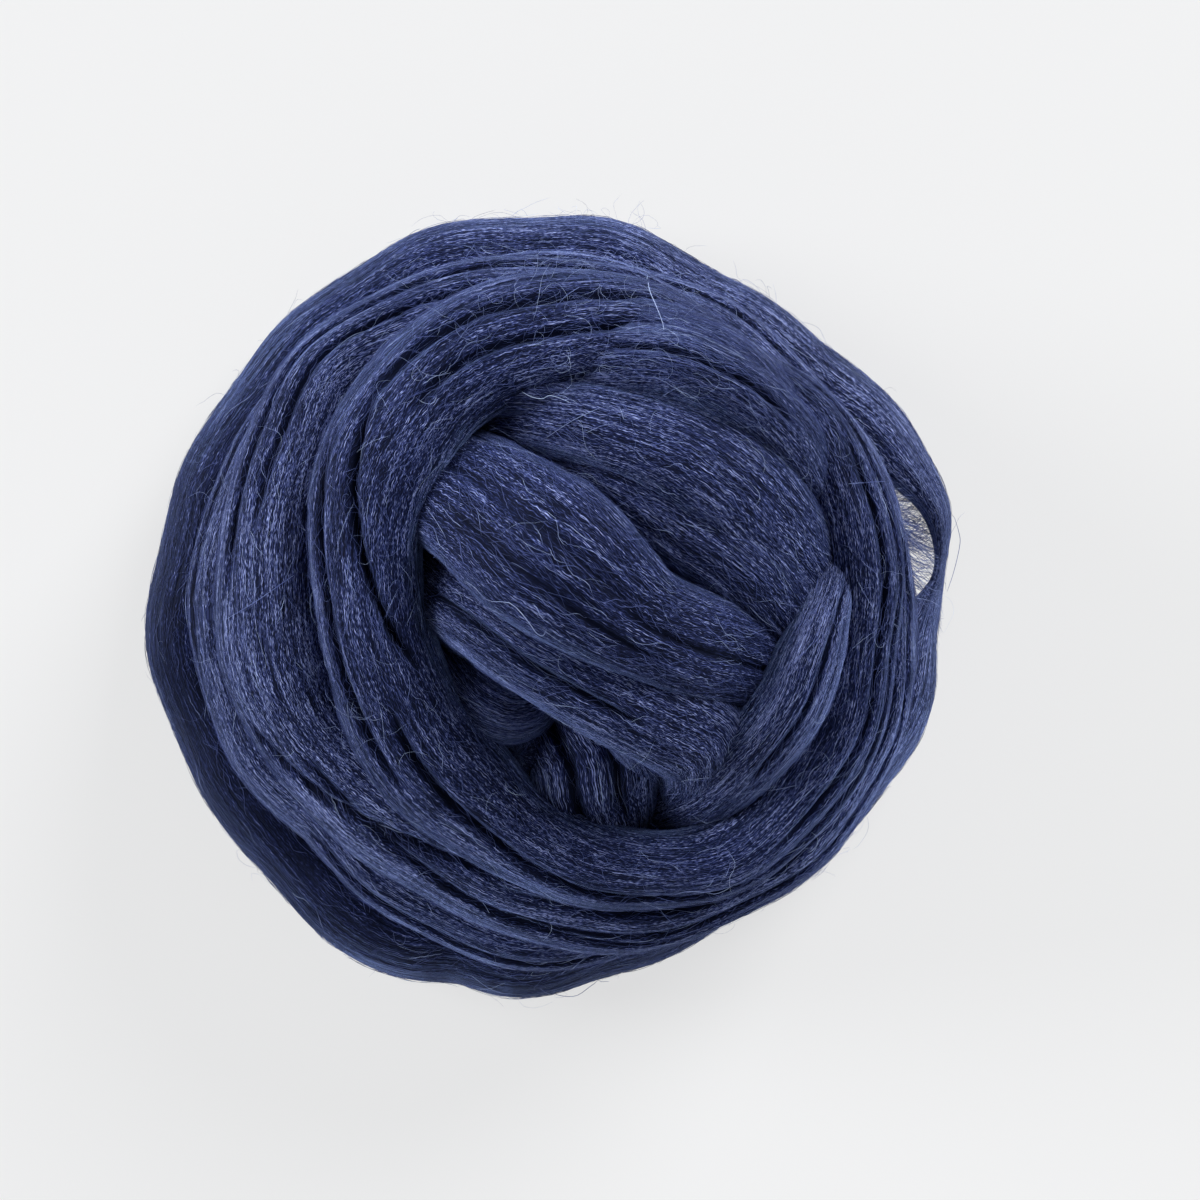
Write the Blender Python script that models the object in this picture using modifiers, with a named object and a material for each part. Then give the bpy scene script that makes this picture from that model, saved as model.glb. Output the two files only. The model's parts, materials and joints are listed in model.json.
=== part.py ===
"""A ball of wool roving: one long length of combed wool, wound into a loose nest.

Sizes are in millimetres and turned into metres by MM. The ball's upright axis is Z and
the table is z = 0. Each turn is one stretch of the same length of roving, swept along the
route that it takes round the nest. The turns are then fused into one closed solid with a
flat foot, because a real ball of roving is one piece that presses flat where it rests.
"""

import math
from collections import namedtuple

import bmesh
import bpy
from mathutils import Vector

MM = 0.001

# What drives the whole ball
AIM_POINT = Vector((0.0, 0.0, -10.0))   # the strands' broad sides face away from here
STEP = 3.0                   # distance between two sections of a strand
RING_POINTS = 44             # points round a section
SECTION_FULLNESS = 0.8       # 1 is an ellipse, less is a fuller section
CREASE_FADE = 0.15           # share of a crease's length in which each end fades out
MESH_SIZE = 1.5              # cell of the fused skin
TRIANGLES = 11000            # kept in the finished skin
SMOOTH_ROUNDS = 3
CUTTER_WIDTH = 240.0
CUTTER_DEPTH = 100.0

# The packed middle that the turns lie on: two eggs run together, each by radii and centre.
# The low one is cut by the foot, and the high one leaves room for the hollow in the heart.
Egg = namedtuple("Egg", "radii centre")
EGGS = (
    Egg((60.0, 59.0, 42.0), (0.0, 0.0, 14.0)),
    Egg((54.0, 52.0, 46.0), (-2.0, 8.0, 18.0)),
)
EGG_SEGMENTS = 48
EGG_RINGS = 24

WOOL_COLOUR = (0.030, 0.038, 0.092, 1.0)
WOOL_ROUGHNESS = 0.85

# Turns that run round the nest, from the table up.
# bearing: degrees, 0 at +X and 90 at +Y; radius and height: the middle of the strand;
# across: its broad side; through: its thickness, measured away from the ball's middle.
TurnRow = namedtuple("TurnRow", "bearing radius height across through")

FLOOR_TURN = (
    (13, 80.3, 10.0, 17.0, 7.0),
    (24, 76.5, 12.0, 23.0, 11.0),
    (32, 72.0, 12.0, 25.0, 16.0),
    (40, 67.5, 12.0, 27.0, 21.0),
    (60, 65.5, 12.0, 27.0, 21.0),
    (85, 68.5, 12.0, 27.0, 22.0),
    (115, 69.5, 12.0, 27.0, 22.0),
    (150, 69.5, 12.0, 27.0, 21.0),
    (185, 72.0, 12.0, 27.0, 22.0),
    (215, 70.0, 12.0, 27.0, 22.0),
    (242, 72.0, 12.0, 27.0, 22.0),
    (256, 69.0, 12.0, 27.0, 22.0),
    (270, 68.5, 12.0, 27.0, 22.0),
    (298, 63.5, 12.0, 27.0, 22.0),
    (325, 66.0, 12.0, 27.0, 22.0),
    (345, 70.5, 12.0, 26.0, 19.0),
    (358, 75.6, 10.5, 17.0, 8.0),
)

SECOND_TURN = (
    (0, 63.0, 31.0, 20.0, 17.0),
    (20, 62.5, 31.0, 20.0, 17.0),
    (45, 60.0, 30.0, 21.0, 18.0),
    (70, 60.0, 30.0, 22.0, 18.0),
    (100, 60.5, 30.0, 22.0, 18.0),
    (130, 61.0, 30.0, 21.0, 18.0),
    (160, 61.5, 31.0, 21.0, 18.0),
    (185, 62.0, 32.0, 21.0, 18.0),
    (205, 61.0, 32.0, 20.0, 18.0),
    (222, 58.5, 32.0, 18.0, 18.0),
    (240, 60.0, 33.0, 16.0, 18.0),
    (262, 63.5, 34.0, 15.0, 17.0),
    (282, 62.5, 33.0, 17.0, 17.0),
    (305, 61.0, 30.0, 20.0, 18.0),
    (330, 63.5, 30.0, 20.0, 17.0),
    (345, 65.0, 31.0, 20.0, 16.0),
)

THIRD_TURN = (
    (58, 58.0, 42.0, 14.0, 12.0),
    (75, 59.0, 49.0, 16.0, 13.0),
    (95, 58.5, 54.0, 18.0, 14.0),
    (115, 59.5, 55.0, 19.0, 14.0),
    (133, 60.5, 53.0, 19.0, 14.0),
    (150, 57.0, 53.5, 22.0, 14.0),
    (168, 54.0, 54.0, 25.0, 14.0),
    (184, 53.5, 52.5, 25.0, 14.0),
    (196, 53.0, 51.0, 25.0, 14.0),
    (210, 52.5, 50.0, 25.0, 13.0),
    (228, 50.5, 50.0, 25.0, 13.0),
    (246, 51.5, 50.0, 23.0, 13.0),
    (264, 55.0, 48.5, 23.0, 13.0),
    (282, 59.5, 46.5, 22.0, 14.0),
    (300, 62.5, 44.5, 20.0, 15.0),
    (318, 65.0, 42.5, 18.0, 15.0),
    (336, 66.0, 41.0, 16.0, 14.0),
    (354, 64.5, 42.0, 14.0, 13.0),
    (375, 63.0, 42.0, 14.0, 13.0),
    (395, 61.0, 40.0, 15.0, 13.0),
    (415, 57.0, 37.0, 15.0, 12.0),
    (435, 53.0, 34.0, 12.0, 10.0),
)

INNER_TURN = (
    (48, 54.0, 46.0, 14.0, 11.0),
    (62, 56.0, 57.0, 18.0, 13.0),
    (78, 53.5, 64.0, 22.0, 15.0),
    (98, 50.0, 67.0, 25.0, 16.0),
    (118, 46.0, 68.0, 26.0, 17.0),
    (138, 41.0, 68.0, 24.0, 17.0),
    (158, 36.5, 68.0, 22.0, 17.0),
    (180, 33.0, 67.0, 22.0, 17.0),
    (202, 32.5, 65.5, 22.0, 17.0),
    (224, 35.0, 63.0, 23.0, 17.0),
    (246, 38.5, 59.5, 24.0, 16.0),
    (266, 45.0, 56.5, 19.0, 15.0),
    (284, 51.5, 54.5, 15.0, 16.0),
    (302, 57.5, 54.5, 13.0, 16.0),
    (320, 59.5, 55.0, 14.0, 17.0),
    (338, 59.5, 56.0, 14.0, 18.0),
    (356, 58.5, 57.0, 14.0, 18.0),
    (374, 59.5, 58.0, 14.0, 18.0),
    (390, 59.5, 54.5, 14.0, 17.0),
    (406, 58.0, 48.0, 13.0, 14.0),
    (420, 54.0, 42.0, 11.0, 10.0),
)

# Strands of the heart, which cross over the turns. x, y and height: the middle of the
# strand; across and through: as above.
HeartRow = namedtuple("HeartRow", "x y height across through")

LIP = (
    (-6, 50, 58, 6, 6),
    (6, 52, 65, 9, 8),
    (18, 52, 66, 11, 9),
    (29, 49, 64, 11, 9),
    (38, 43, 60, 11, 9),
    (45, 35, 55, 10, 9),
    (50, 26, 49, 8, 8),
)

SIDE_LOCK = (
    (54, 11, 54, 6, 7),
    (53, 4, 61, 8, 9),
    (51, -3, 66, 10, 11),
    (48.5, -10, 69, 12, 13),
    (45, -18, 69, 13, 14),
    (40, -25.5, 66, 14, 14),
    (33.5, -32.5, 59, 14, 13),
    (26, -38, 49, 13, 11),
    (17, -43, 38, 10, 8),
)

TOP_FAN = (
    (-2, 46, 52, 9, 9),
    (7, 50, 60, 13, 11),
    (16, 50, 66, 14, 12),
    (26, 47, 68, 14, 12),
    (34, 43, 67, 13, 12),
    (40, 37, 64, 12, 11),
    (45, 30, 59, 11, 10),
    (49, 22, 52, 9, 9),
)

MIDDLE_FAN = (
    (-6, 38, 50, 8, 8),
    (3, 42.5, 60, 12, 11),
    (12, 45, 68, 14, 12),
    (22, 44.5, 72, 15, 13),
    (31, 41, 73, 14, 13),
    (39, 36, 70, 14, 12),
    (45.5, 30, 65, 13, 11),
    (50, 23, 58, 11, 9),
    (53, 16, 50, 8, 8),
)

LOW_FAN = (
    (-14, 35, 57, 8, 7),
    (-6, 35.5, 65, 12, 10),
    (4, 34.5, 70, 16, 12),
    (15, 32, 73, 20, 13),
    (26, 27.5, 74, 22, 13),
    (35, 21.5, 72, 22, 13),
    (42.5, 14, 67, 20, 12),
    (48, 7, 60, 17, 11),
    (51, 1, 52, 13, 9),
)

EDGE_STRAND = (
    (1, 27, 67, 10, 8),
    (9, 24.5, 71, 14, 11),
    (18, 20.5, 73, 17, 12),
    (27, 15, 73, 19, 13),
    (35, 9, 71, 19, 13),
    (41.5, 2.5, 66, 18, 12),
    (46, -3.5, 58, 15, 10),
    (48.5, -9, 50, 11, 8),
)

BROAD_STRAND = (
    (-27, 26, 50, 18, 9),
    (-20, 23, 62, 23, 12),
    (-12, 18.5, 75, 27, 14),
    (-4, 12.5, 82, 28, 15),
    (4, 6.5, 85, 27, 15),
    (11, 1, 84, 25, 15),
    (18, -3.5, 81, 22, 14),
    (26, -7, 76, 20, 14),
    (34, -9.5, 69, 18, 13),
    (41, -11.5, 60, 16, 11),
    (46, -13, 51, 12, 9),
)

LOWER_STRAND = (
    (-25, 9, 54, 12, 9),
    (-19, 3, 65, 15, 11),
    (-11, -2.5, 74, 17, 12),
    (-3, -8, 78, 17, 13),
    (5, -12.5, 79, 17, 13),
    (13, -16.5, 77, 18, 13),
    (21, -20.5, 73, 19, 13),
    (28, -25, 67, 20, 12),
    (29, -31.5, 59, 16, 11),
    (25, -38, 49, 11, 9),
)

UNDER_STRAND = (
    (-22, 1, 52, 8, 8),
    (-17, -4, 61, 9, 10),
    (-9, -8.5, 68, 9, 11),
    (-1, -13, 71, 9, 11),
    (7, -17.5, 71, 9, 11),
    (13.5, -22, 67, 10, 11),
    (18, -28, 60, 10, 10),
    (20, -34, 51, 8, 8),
)

LENS_LOCK = (
    (-15, 38, 62, 5, 6),
    (-8, 39, 68, 9, 9),
    (-1, 39, 70, 10, 9),
    (7, 37, 69, 8, 8),
    (14, 35, 65, 5, 6),
)

SMALL_CURL = (
    (-21, -5, 54, 7, 8),
    (-18.5, -11, 60, 9, 9),
    (-14, -17, 64, 11, 10),
    (-8, -20.5, 64, 11, 10),
    (-3, -19.5, 60, 9, 9),
    (-1, -15, 53, 6, 7),
)

DEEP_LOCK = (
    (2, -16, 48, 16, 9),
    (5, -22, 56, 22, 12),
    (8, -28, 59, 24, 13),
    (9, -34, 57, 23, 13),
    (11, -40, 49, 19, 12),
    (12, -44, 38, 14, 10),
)


# The main creases, which part a strand into its locks. row and to_row: where along the
# strand, counted in the rows of its table; side: -1 at one edge and 1 at the other, the
# outer edge of a turn and the edge towards -Y of a strand that runs to +X; depth: at the
# middle of the crease; width: half of it, as a share of half the strand.
Crease = namedtuple("Crease", "row to_row side to_side depth width")

FLOOR_CREASES = (
    (3.0, 7.5, 0.35, 0.15, 1.6, 0.22),
    (7.0, 14.5, 0.20, 0.30, 1.2, 0.22),
)

SECOND_CREASES = (
    (1.0, 7.5, 0.10, 0.25, 1.6, 0.20),
    (9.0, 15.0, -0.10, 0.10, 1.6, 0.20),
)

THIRD_CREASES = (
    (0.5, 6.8, 0.30, 0.40, 1.5, 0.18),
    (1.0, 6.0, -0.35, -0.15, 1.4, 0.18),
    (8.3, 12.2, 0.60, -0.85, 2.2, 0.16),
    (9.0, 14.5, -0.20, 0.55, 1.4, 0.16),
    (11.0, 18.5, 0.10, 0.20, 1.6, 0.18),
    (11.5, 20.0, -0.45, -0.35, 1.4, 0.18),
)

INNER_CREASES = (
    (1.0, 4.6, 0.00, 0.30, 1.6, 0.18),
    (1.5, 4.4, -0.55, -0.40, 1.6, 0.16),
    (4.4, 8.0, 0.30, -0.85, 2.4, 0.16),
    (5.0, 9.5, 0.60, 0.35, 1.5, 0.16),
    (8.2, 13.5, -0.20, 0.20, 1.6, 0.18),
    (13.0, 19.0, 0.25, 0.35, 1.8, 0.18),
    (13.5, 18.0, -0.35, -0.25, 1.4, 0.18),
)

BROAD_CREASES = (
    (1.2, 5.5, -0.20, -0.10, 0.5, 0.20),
    (1.8, 6.5, 0.35, 0.50, 0.7, 0.18),
    (5.0, 9.5, 0.05, 0.10, 0.7, 0.20),
)

LOWER_CREASES = (
    (1.0, 5.5, 0.10, 0.25, 1.5, 0.22),
)

FAN_CREASES = (
    (1.0, 5.5, 0.10, 0.20, 1.6, 0.20),
)

LOCK_CREASES = (
    (0.5, 3.6, -0.35, -0.30, 1.8, 0.22),
    (0.5, 3.6, 0.30, 0.40, 1.8, 0.22),
)

# Each turn with its creases and whether it closes on itself, then the heart's strands.
TURNS = (
    (FLOOR_TURN, FLOOR_CREASES, True),
    (SECOND_TURN, SECOND_CREASES, True),
    (THIRD_TURN, THIRD_CREASES, False),
    (INNER_TURN, INNER_CREASES, False),
)
HEART_STRANDS = (
    (LIP, ()),
    (SIDE_LOCK, FAN_CREASES),
    (TOP_FAN, FAN_CREASES),
    (MIDDLE_FAN, FAN_CREASES),
    (LOW_FAN, ()),
    (EDGE_STRAND, ()),
    (BROAD_STRAND, BROAD_CREASES),
    (LOWER_STRAND, LOWER_CREASES),
    (UNDER_STRAND, ()),
    (LENS_LOCK, ()),
    (SMALL_CURL, ()),
    (DEEP_LOCK, LOCK_CREASES),
)


def turn_stations(rows):
    """Stations of a turn: middle point and two sizes, from its bearings and radii."""
    stations = []
    for row in map(TurnRow._make, rows):
        angle = math.radians(row.bearing)
        place = Vector((row.radius * math.cos(angle), row.radius * math.sin(angle), row.height))
        stations.append((place, row.across, row.through))
    return stations


def heart_stations(rows):
    """Stations of a strand of the heart."""
    stations = []
    for row in map(HeartRow._make, rows):
        stations.append((Vector((row.x, row.y, row.height)), row.across, row.through))
    return stations


def curve_value(before, start, end, after, share):
    """A smooth curve from start to end that also heeds its two neighbours."""
    pull_in = (end - before) * 0.5
    pull_out = (after - start) * 0.5
    square = share * share
    cube = square * share
    return (start * (2 * cube - 3 * square + 1) + pull_in * (cube - 2 * square + share)
            + end * (3 * square - 2 * cube) + pull_out * (cube - square))


def even_sections(stations, is_ring):
    """Stations filled in about every STEP, each with its row in the table."""
    count = len(stations)
    spans = count if is_ring else count - 1
    sections = []
    for index in range(spans):
        if is_ring:
            four = [stations[(index + shift) % count] for shift in (-1, 0, 1, 2)]
        else:
            four = [stations[min(max(index + shift, 0), count - 1)] for shift in (-1, 0, 1, 2)]
        steps = max(2, round((four[2][0] - four[1][0]).length / STEP))
        for step in range(steps):
            share = step / steps
            values = [curve_value(*column, share) for column in zip(*four)]
            sections.append((*values, index + share))
    if not is_ring:
        sections.append((*stations[-1], spans))
    return sections


def section_axes(sections, index, is_ring):
    """Directions of a section: across the strand and away from the ball's middle."""
    count = len(sections)
    if is_ring:
        ahead = sections[(index + 1) % count][0]
        behind = sections[index - 1][0]
    else:
        ahead = sections[min(index + 1, count - 1)][0]
        behind = sections[max(index - 1, 0)][0]
    along = (ahead - behind).normalized()
    outward = sections[index][0] - AIM_POINT
    outward = (outward - along * outward.dot(along)).normalized()
    return along.cross(outward), outward


def crease_dip(creases, row, side):
    """How deep the creases are at a place on a strand, fading out at both their ends."""
    dip = 0.0
    for crease in map(Crease._make, creases):
        share = (row - crease.row) / (crease.to_row - crease.row)
        if not 0.0 < share < 1.0:
            continue
        middle = crease.side + (crease.to_side - crease.side) * share
        away = (side - middle) / crease.width
        fade = min(1.0, share / CREASE_FADE, (1.0 - share) / CREASE_FADE)
        dip = max(dip, crease.depth * fade / (1.0 + away * away) ** 2)
    return dip


def add_ring(skein, section, axes, creases, is_capped):
    """Add one section of a strand to the skein and give its edges in order."""
    ring = bmesh.ops.create_circle(skein, segments=RING_POINTS, radius=MM, cap_ends=is_capped)
    edges = []
    for vertex in ring["verts"]:
        edges.extend(edge for edge in vertex.link_edges if edge not in edges)
    place, across, through, row = section
    sideways, outward = axes
    for number, vertex in enumerate(ring["verts"]):
        angle = 2 * math.pi * number / RING_POINTS
        wide = math.cos(angle)
        high = math.copysign(abs(math.sin(angle)) ** SECTION_FULLNESS, math.sin(angle))
        dip = crease_dip(creases, row, wide) if high > 0.0 else 0.0
        point = place + sideways * wide * across / 2 + outward * (high * through / 2 - dip)
        vertex.co = point * MM
    return edges


def add_strand(skein, stations, creases, is_ring=False):
    """Sweep one strand along its route and add it to the skein."""
    sections = even_sections(stations, is_ring)
    last = len(sections) - 1
    first_edges = None
    edges = None
    for index, section in enumerate(sections):
        is_capped = not is_ring and index in (0, last)
        axes = section_axes(sections, index, is_ring)
        fresh = add_ring(skein, section, axes, creases, is_capped)
        if edges:
            bmesh.ops.bridge_loops(skein, edges=edges + fresh)
        else:
            first_edges = fresh
        edges = fresh
    if is_ring:
        bmesh.ops.bridge_loops(skein, edges=edges + first_edges)


def add_packed_middle(skein):
    """The packed middle of the ball, hidden under the turns."""
    for egg in EGGS:
        ball = bmesh.ops.create_uvsphere(skein, u_segments=EGG_SEGMENTS,
                                         v_segments=EGG_RINGS, radius=1.0)
        for vertex in ball["verts"]:
            vertex.co = Vector(radius * share + middle for radius, share, middle
                               in zip(egg.radii, vertex.co, egg.centre)) * MM


def keep_outer_skin(mesh):
    """Delete the bubbles that the fusing leaves closed up between the turns."""
    skin = bmesh.new()
    skin.from_mesh(mesh)
    unseen = set(skin.verts)
    islands = []
    for seed in skin.verts:
        if seed not in unseen:
            continue
        unseen.discard(seed)
        island = [seed]
        for vertex in island:
            for edge in vertex.link_edges:
                other = edge.other_vert(vertex)
                if other in unseen:
                    unseen.discard(other)
                    island.append(other)
        islands.append(island)
    islands.sort(key=len)
    for island in islands[:-1]:
        bmesh.ops.delete(skin, geom=island, context="VERTS")
    skin.to_mesh(mesh)
    skin.free()


def fused(skein, name):
    """One closed mesh round everything in the skein."""
    loose_mesh = bpy.data.meshes.new(name + "_loose")
    skein.to_mesh(loose_mesh)
    skein.free()
    loose = bpy.data.objects.new(name + "_loose", loose_mesh)
    bpy.context.scene.collection.objects.link(loose)
    remesh = loose.modifiers.new("Fuse", "REMESH")
    remesh.mode = "VOXEL"
    remesh.voxel_size = MESH_SIZE * MM
    depsgraph = bpy.context.evaluated_depsgraph_get()
    mesh = bpy.data.meshes.new_from_object(loose.evaluated_get(depsgraph))
    mesh.name = name
    bpy.data.objects.remove(loose)
    bpy.data.meshes.remove(loose_mesh)
    keep_outer_skin(mesh)
    return mesh


def wool_material():
    """Dark blue combed wool, matt with no metal in it."""
    material = bpy.data.materials.new("navy_wool")
    material.use_nodes = True
    shader = material.node_tree.nodes["Principled BSDF"]
    shader.inputs["Base Color"].default_value = WOOL_COLOUR
    shader.inputs["Roughness"].default_value = WOOL_ROUGHNESS
    shader.inputs["Metallic"].default_value = 0.0
    return material


def table_cutter(collection):
    """A block under the table that cuts the ball's flat foot."""
    bpy.ops.mesh.primitive_cube_add(size=1.0)
    block = bpy.context.object
    block.name = "below_table"
    block.scale = (CUTTER_WIDTH * MM, CUTTER_WIDTH * MM, CUTTER_DEPTH * MM)
    block.location = (0.0, 0.0, -CUTTER_DEPTH / 2 * MM)
    block.hide_render = True
    block.display_type = "WIRE"
    for owner in block.users_collection:
        owner.objects.unlink(block)
    collection.objects.link(block)
    return block


def add_finishing(nest, cutter):
    """Soften the fused skin, thin its faces out and cut the flat foot."""
    soften = nest.modifiers.new("Soften", "SMOOTH")
    soften.factor = 0.5
    soften.iterations = SMOOTH_ROUNDS
    thin = nest.modifiers.new("Thin", "DECIMATE")
    thin.ratio = TRIANGLES / (2 * len(nest.data.polygons))
    foot = nest.modifiers.new("Foot", "BOOLEAN")
    foot.operation = "DIFFERENCE"
    foot.solver = "EXACT"
    foot.object = cutter


def main():
    for item in list(bpy.data.objects):
        bpy.data.objects.remove(item)
    parts = bpy.data.collections.new("wool_roving")
    cutters = bpy.data.collections.new("cutters")
    for collection in (parts, cutters):
        bpy.context.scene.collection.children.link(collection)

    skein = bmesh.new()
    add_packed_middle(skein)
    for rows, creases, is_ring in TURNS:
        add_strand(skein, turn_stations(rows), creases, is_ring)
    for rows, creases in HEART_STRANDS:
        add_strand(skein, heart_stations(rows), creases)
    bmesh.ops.recalc_face_normals(skein, faces=skein.faces)

    mesh = fused(skein, "roving_nest")
    mesh.materials.append(wool_material())
    mesh.shade_smooth()
    nest = bpy.data.objects.new("roving_nest", mesh)
    parts.objects.link(nest)
    add_finishing(nest, table_cutter(cutters))


main()
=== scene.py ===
# %% [markdown]
# A ball of wool roving
#
# Roving is wool that has been combed until its fibres lie side by side in a long, soft,
# untwisted band. Here one length of it is wound by hand into a loose nest. The photo looks
# straight down on it. What makes it look like wool is in three layers: broad strands that
# cross each other, locks and creases that run along each strand, and single crimped fibres
# with a few stray hairs. This script makes the three layers in that order.

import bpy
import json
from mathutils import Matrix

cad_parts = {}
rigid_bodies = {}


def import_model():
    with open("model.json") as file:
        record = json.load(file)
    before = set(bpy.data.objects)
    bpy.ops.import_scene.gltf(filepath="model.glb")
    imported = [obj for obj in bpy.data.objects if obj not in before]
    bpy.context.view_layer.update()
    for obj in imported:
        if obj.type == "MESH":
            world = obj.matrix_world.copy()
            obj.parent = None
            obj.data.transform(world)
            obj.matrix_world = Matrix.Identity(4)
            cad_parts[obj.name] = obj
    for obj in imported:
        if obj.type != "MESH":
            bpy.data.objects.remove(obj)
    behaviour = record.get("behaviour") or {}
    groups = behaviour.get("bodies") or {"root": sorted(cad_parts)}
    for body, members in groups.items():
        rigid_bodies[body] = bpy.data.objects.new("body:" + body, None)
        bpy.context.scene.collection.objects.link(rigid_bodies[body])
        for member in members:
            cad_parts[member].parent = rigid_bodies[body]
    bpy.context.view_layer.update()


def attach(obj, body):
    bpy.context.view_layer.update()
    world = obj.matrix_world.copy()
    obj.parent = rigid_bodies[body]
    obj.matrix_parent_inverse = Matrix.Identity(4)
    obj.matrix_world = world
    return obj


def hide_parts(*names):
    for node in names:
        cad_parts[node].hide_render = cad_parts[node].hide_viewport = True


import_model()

# %% Tools of Blender and of Python
import json
import math
from dataclasses import dataclass

import bmesh
import bpy
import numpy as np
from mathutils import Vector
from mathutils.bvhtree import BVHTree

MM = 0.001     # every size below is in millimetres

# %% [markdown]
# The camera
#
# The photo was taken from straight above, from about 0.64 m, so the top of the nest looks
# a little larger than its foot. A long lens on a camera that points straight down gives
# the same view. It is made first, because everything after it is judged through it.

# %% Camera
CAMERA_PLACE = (9.7, 0.9, 640.0)
LENS = 92.16
SENSOR = 36.0
NEAREST_SEEN = 10.0

camera = bpy.data.objects.new("camera", bpy.data.cameras.new("camera"))
camera.location = Vector(CAMERA_PLACE) * MM
camera.data.lens = LENS
camera.data.sensor_width = SENSOR
camera.data.clip_start = NEAREST_SEEN * MM
bpy.context.scene.collection.objects.link(camera)
bpy.context.scene.camera = camera
print("camera height:", CAMERA_PLACE[2], "mm")

# %% [markdown]
# Sums in a material
#
# A material is a tree of nodes, and a sum such as 0.5 + 2 * noise takes several of them.
# A small class that wraps a socket lets the sum be written as Python instead: each operator
# adds one Math node. Numbers that are the same everywhere are worked out in Python, and
# vectors go through Vector Math, because a Math node would keep only their average.

# %% Wires and nodes
class Wire:
    """A value on its way through a material's nodes."""

    def __init__(self, tree, socket):
        self.tree = tree
        self.socket = socket

    def math(self, operation, first, second):
        settings = {"operation": operation}
        return add_node(self.tree, "ShaderNodeMath", settings, {0: first, 1: second})

    def __add__(self, other):
        return self.math("ADD", self, other)

    def __sub__(self, other):
        return self.math("SUBTRACT", self, other)

    def __rsub__(self, other):
        return self.math("SUBTRACT", other, self)

    def __mul__(self, other):
        return self.math("MULTIPLY", self, other)

    __radd__ = __add__
    __rmul__ = __mul__


def add_node(tree, kind, settings=None, sockets=None, output=0):
    """Add a node, set it up, fill its sockets and give one of its outputs as a wire."""
    node = tree.nodes.new(kind)
    for name, value in (settings or {}).items():
        if name == "stops":
            ramp = node.color_ramp
            while len(ramp.elements) < len(value):
                ramp.elements.new(0.5)
            for element, (position, colour) in zip(ramp.elements, value):
                element.position = position
                element.color = colour
        else:
            setattr(node, name, value)
    for name, value in (sockets or {}).items():
        if isinstance(value, Wire):
            tree.links.new(value.socket, node.inputs[name])
        else:
            node.inputs[name].default_value = value
    return Wire(tree, node.outputs[output])


def new_material(name, finish):
    """A material with its fixed values filled in, its node tree and its shader."""
    material = bpy.data.materials.new(name)
    material.use_nodes = True
    shader = material.node_tree.nodes["Principled BSDF"]
    for socket, value in finish.items():
        shader.inputs[socket].default_value = value
    return material, material.node_tree, shader


# %% [markdown]
# Light
#
# The nest is photographed in a bright white room. Its walls light the outer flank of every
# turn, while the tops get less and the grooves almost nothing. So the world is a pale ring:
# bright near the horizon and dim overhead. Two wide sun lamps stand for the windows. Their
# spread makes their shadows soft, and the brighter one, at the top right, leaves the faint
# grey shadow at the lower left.

# %% World and windows
ROOM_COLOUR = (0.88, 0.94, 1.0, 1.0)
WALL_GLOW = 1.90         # at the horizon
CEILING_GLOW = 0.05      # overhead
WINDOW_COLOUR = (0.94, 0.96, 1.0)
WINDOWS = (              # bearing from +X towards +Y, height and spread in degrees, strength
    ("top_window", 52.0, 27.0, 30.0, 2.90),
    ("left_window", 165.0, 19.0, 30.0, 2.60),
)

scene = bpy.context.scene
scene.view_settings.view_transform = "Standard"
scene.world = bpy.data.worlds.new("pale_room")
scene.world.use_nodes = True
tree = scene.world.node_tree
background = tree.nodes["Background"]
background.inputs["Color"].default_value = ROOM_COLOUR
direction = add_node(tree, "ShaderNodeTexCoord")
low = 1.0 - add_node(tree, "ShaderNodeSeparateXYZ", sockets={0: direction}, output=2)
glow = low * low * WALL_GLOW + CEILING_GLOW
tree.links.new(glow.socket, background.inputs["Strength"])

for name, bearing, height, spread, strength in WINDOWS:
    window = bpy.data.objects.new(name, bpy.data.lights.new(name, "SUN"))
    window.data.angle = math.radians(spread)
    window.data.energy = strength
    window.data.color = WINDOW_COLOUR
    window.rotation_euler = (math.radians(90.0 - height), 0.0, math.radians(90.0 + bearing))
    scene.collection.objects.link(window)
    print(name, "at bearing", bearing, "and", height, "degrees up")

# %% [markdown]
# The table
#
# The nest lies on a plain white surface, which isn't part of the object. A large plane is
# enough.

# %% Table
TABLE_HALF = 4000.0
TABLE_DROP = 0.2     # keeps the plane just under the wool's flat foot
TABLE_FINISH = {     # it glows, because the photo's table hardly takes a shadow
    "Base Color": (0.22, 0.217, 0.212, 1.0),
    "Roughness": 0.9,
    "Emission Color": (1.0, 1.0, 1.0, 1.0),
    "Emission Strength": 0.66,
}


def show_mesh(name, mesh, material):
    """Put a mesh in the scene as an object, with its material."""
    mesh.materials.append(material)
    shown = bpy.data.objects.new(name, mesh)
    scene.collection.objects.link(shown)
    return shown


table_form = bmesh.new()
bmesh.ops.create_grid(table_form, x_segments=1, y_segments=1, size=TABLE_HALF * MM)
bmesh.ops.translate(table_form, verts=table_form.verts, vec=(0.0, 0.0, -TABLE_DROP * MM))
table_mesh = bpy.data.meshes.new("table")
table_form.to_mesh(table_mesh)
table_form.free()
table_material, _, _ = new_material("white_table", TABLE_FINISH)
table = show_mesh("table", table_mesh, table_material)
print("table:", 2 * TABLE_HALF, "mm wide")

# %% [markdown]
# The strands' routes
#
# Each strand is described by a short table, one row for each place where its route or its
# width changes, as measured on the photo. Turns run round the nest, so their rows give a
# bearing (0 is +X, 90 is +Y) and a radius. The heart's strands cross over the turns, so
# their rows give x and y. After that come the height of the strand's middle, its broad
# side, and its thickness away from the ball's middle. They are the same rows that the
# solid is built from, apart from the thin bow at the right of the floor turn, where the
# solid has to be stouter than the few fibres that really bridge the gap.

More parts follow.
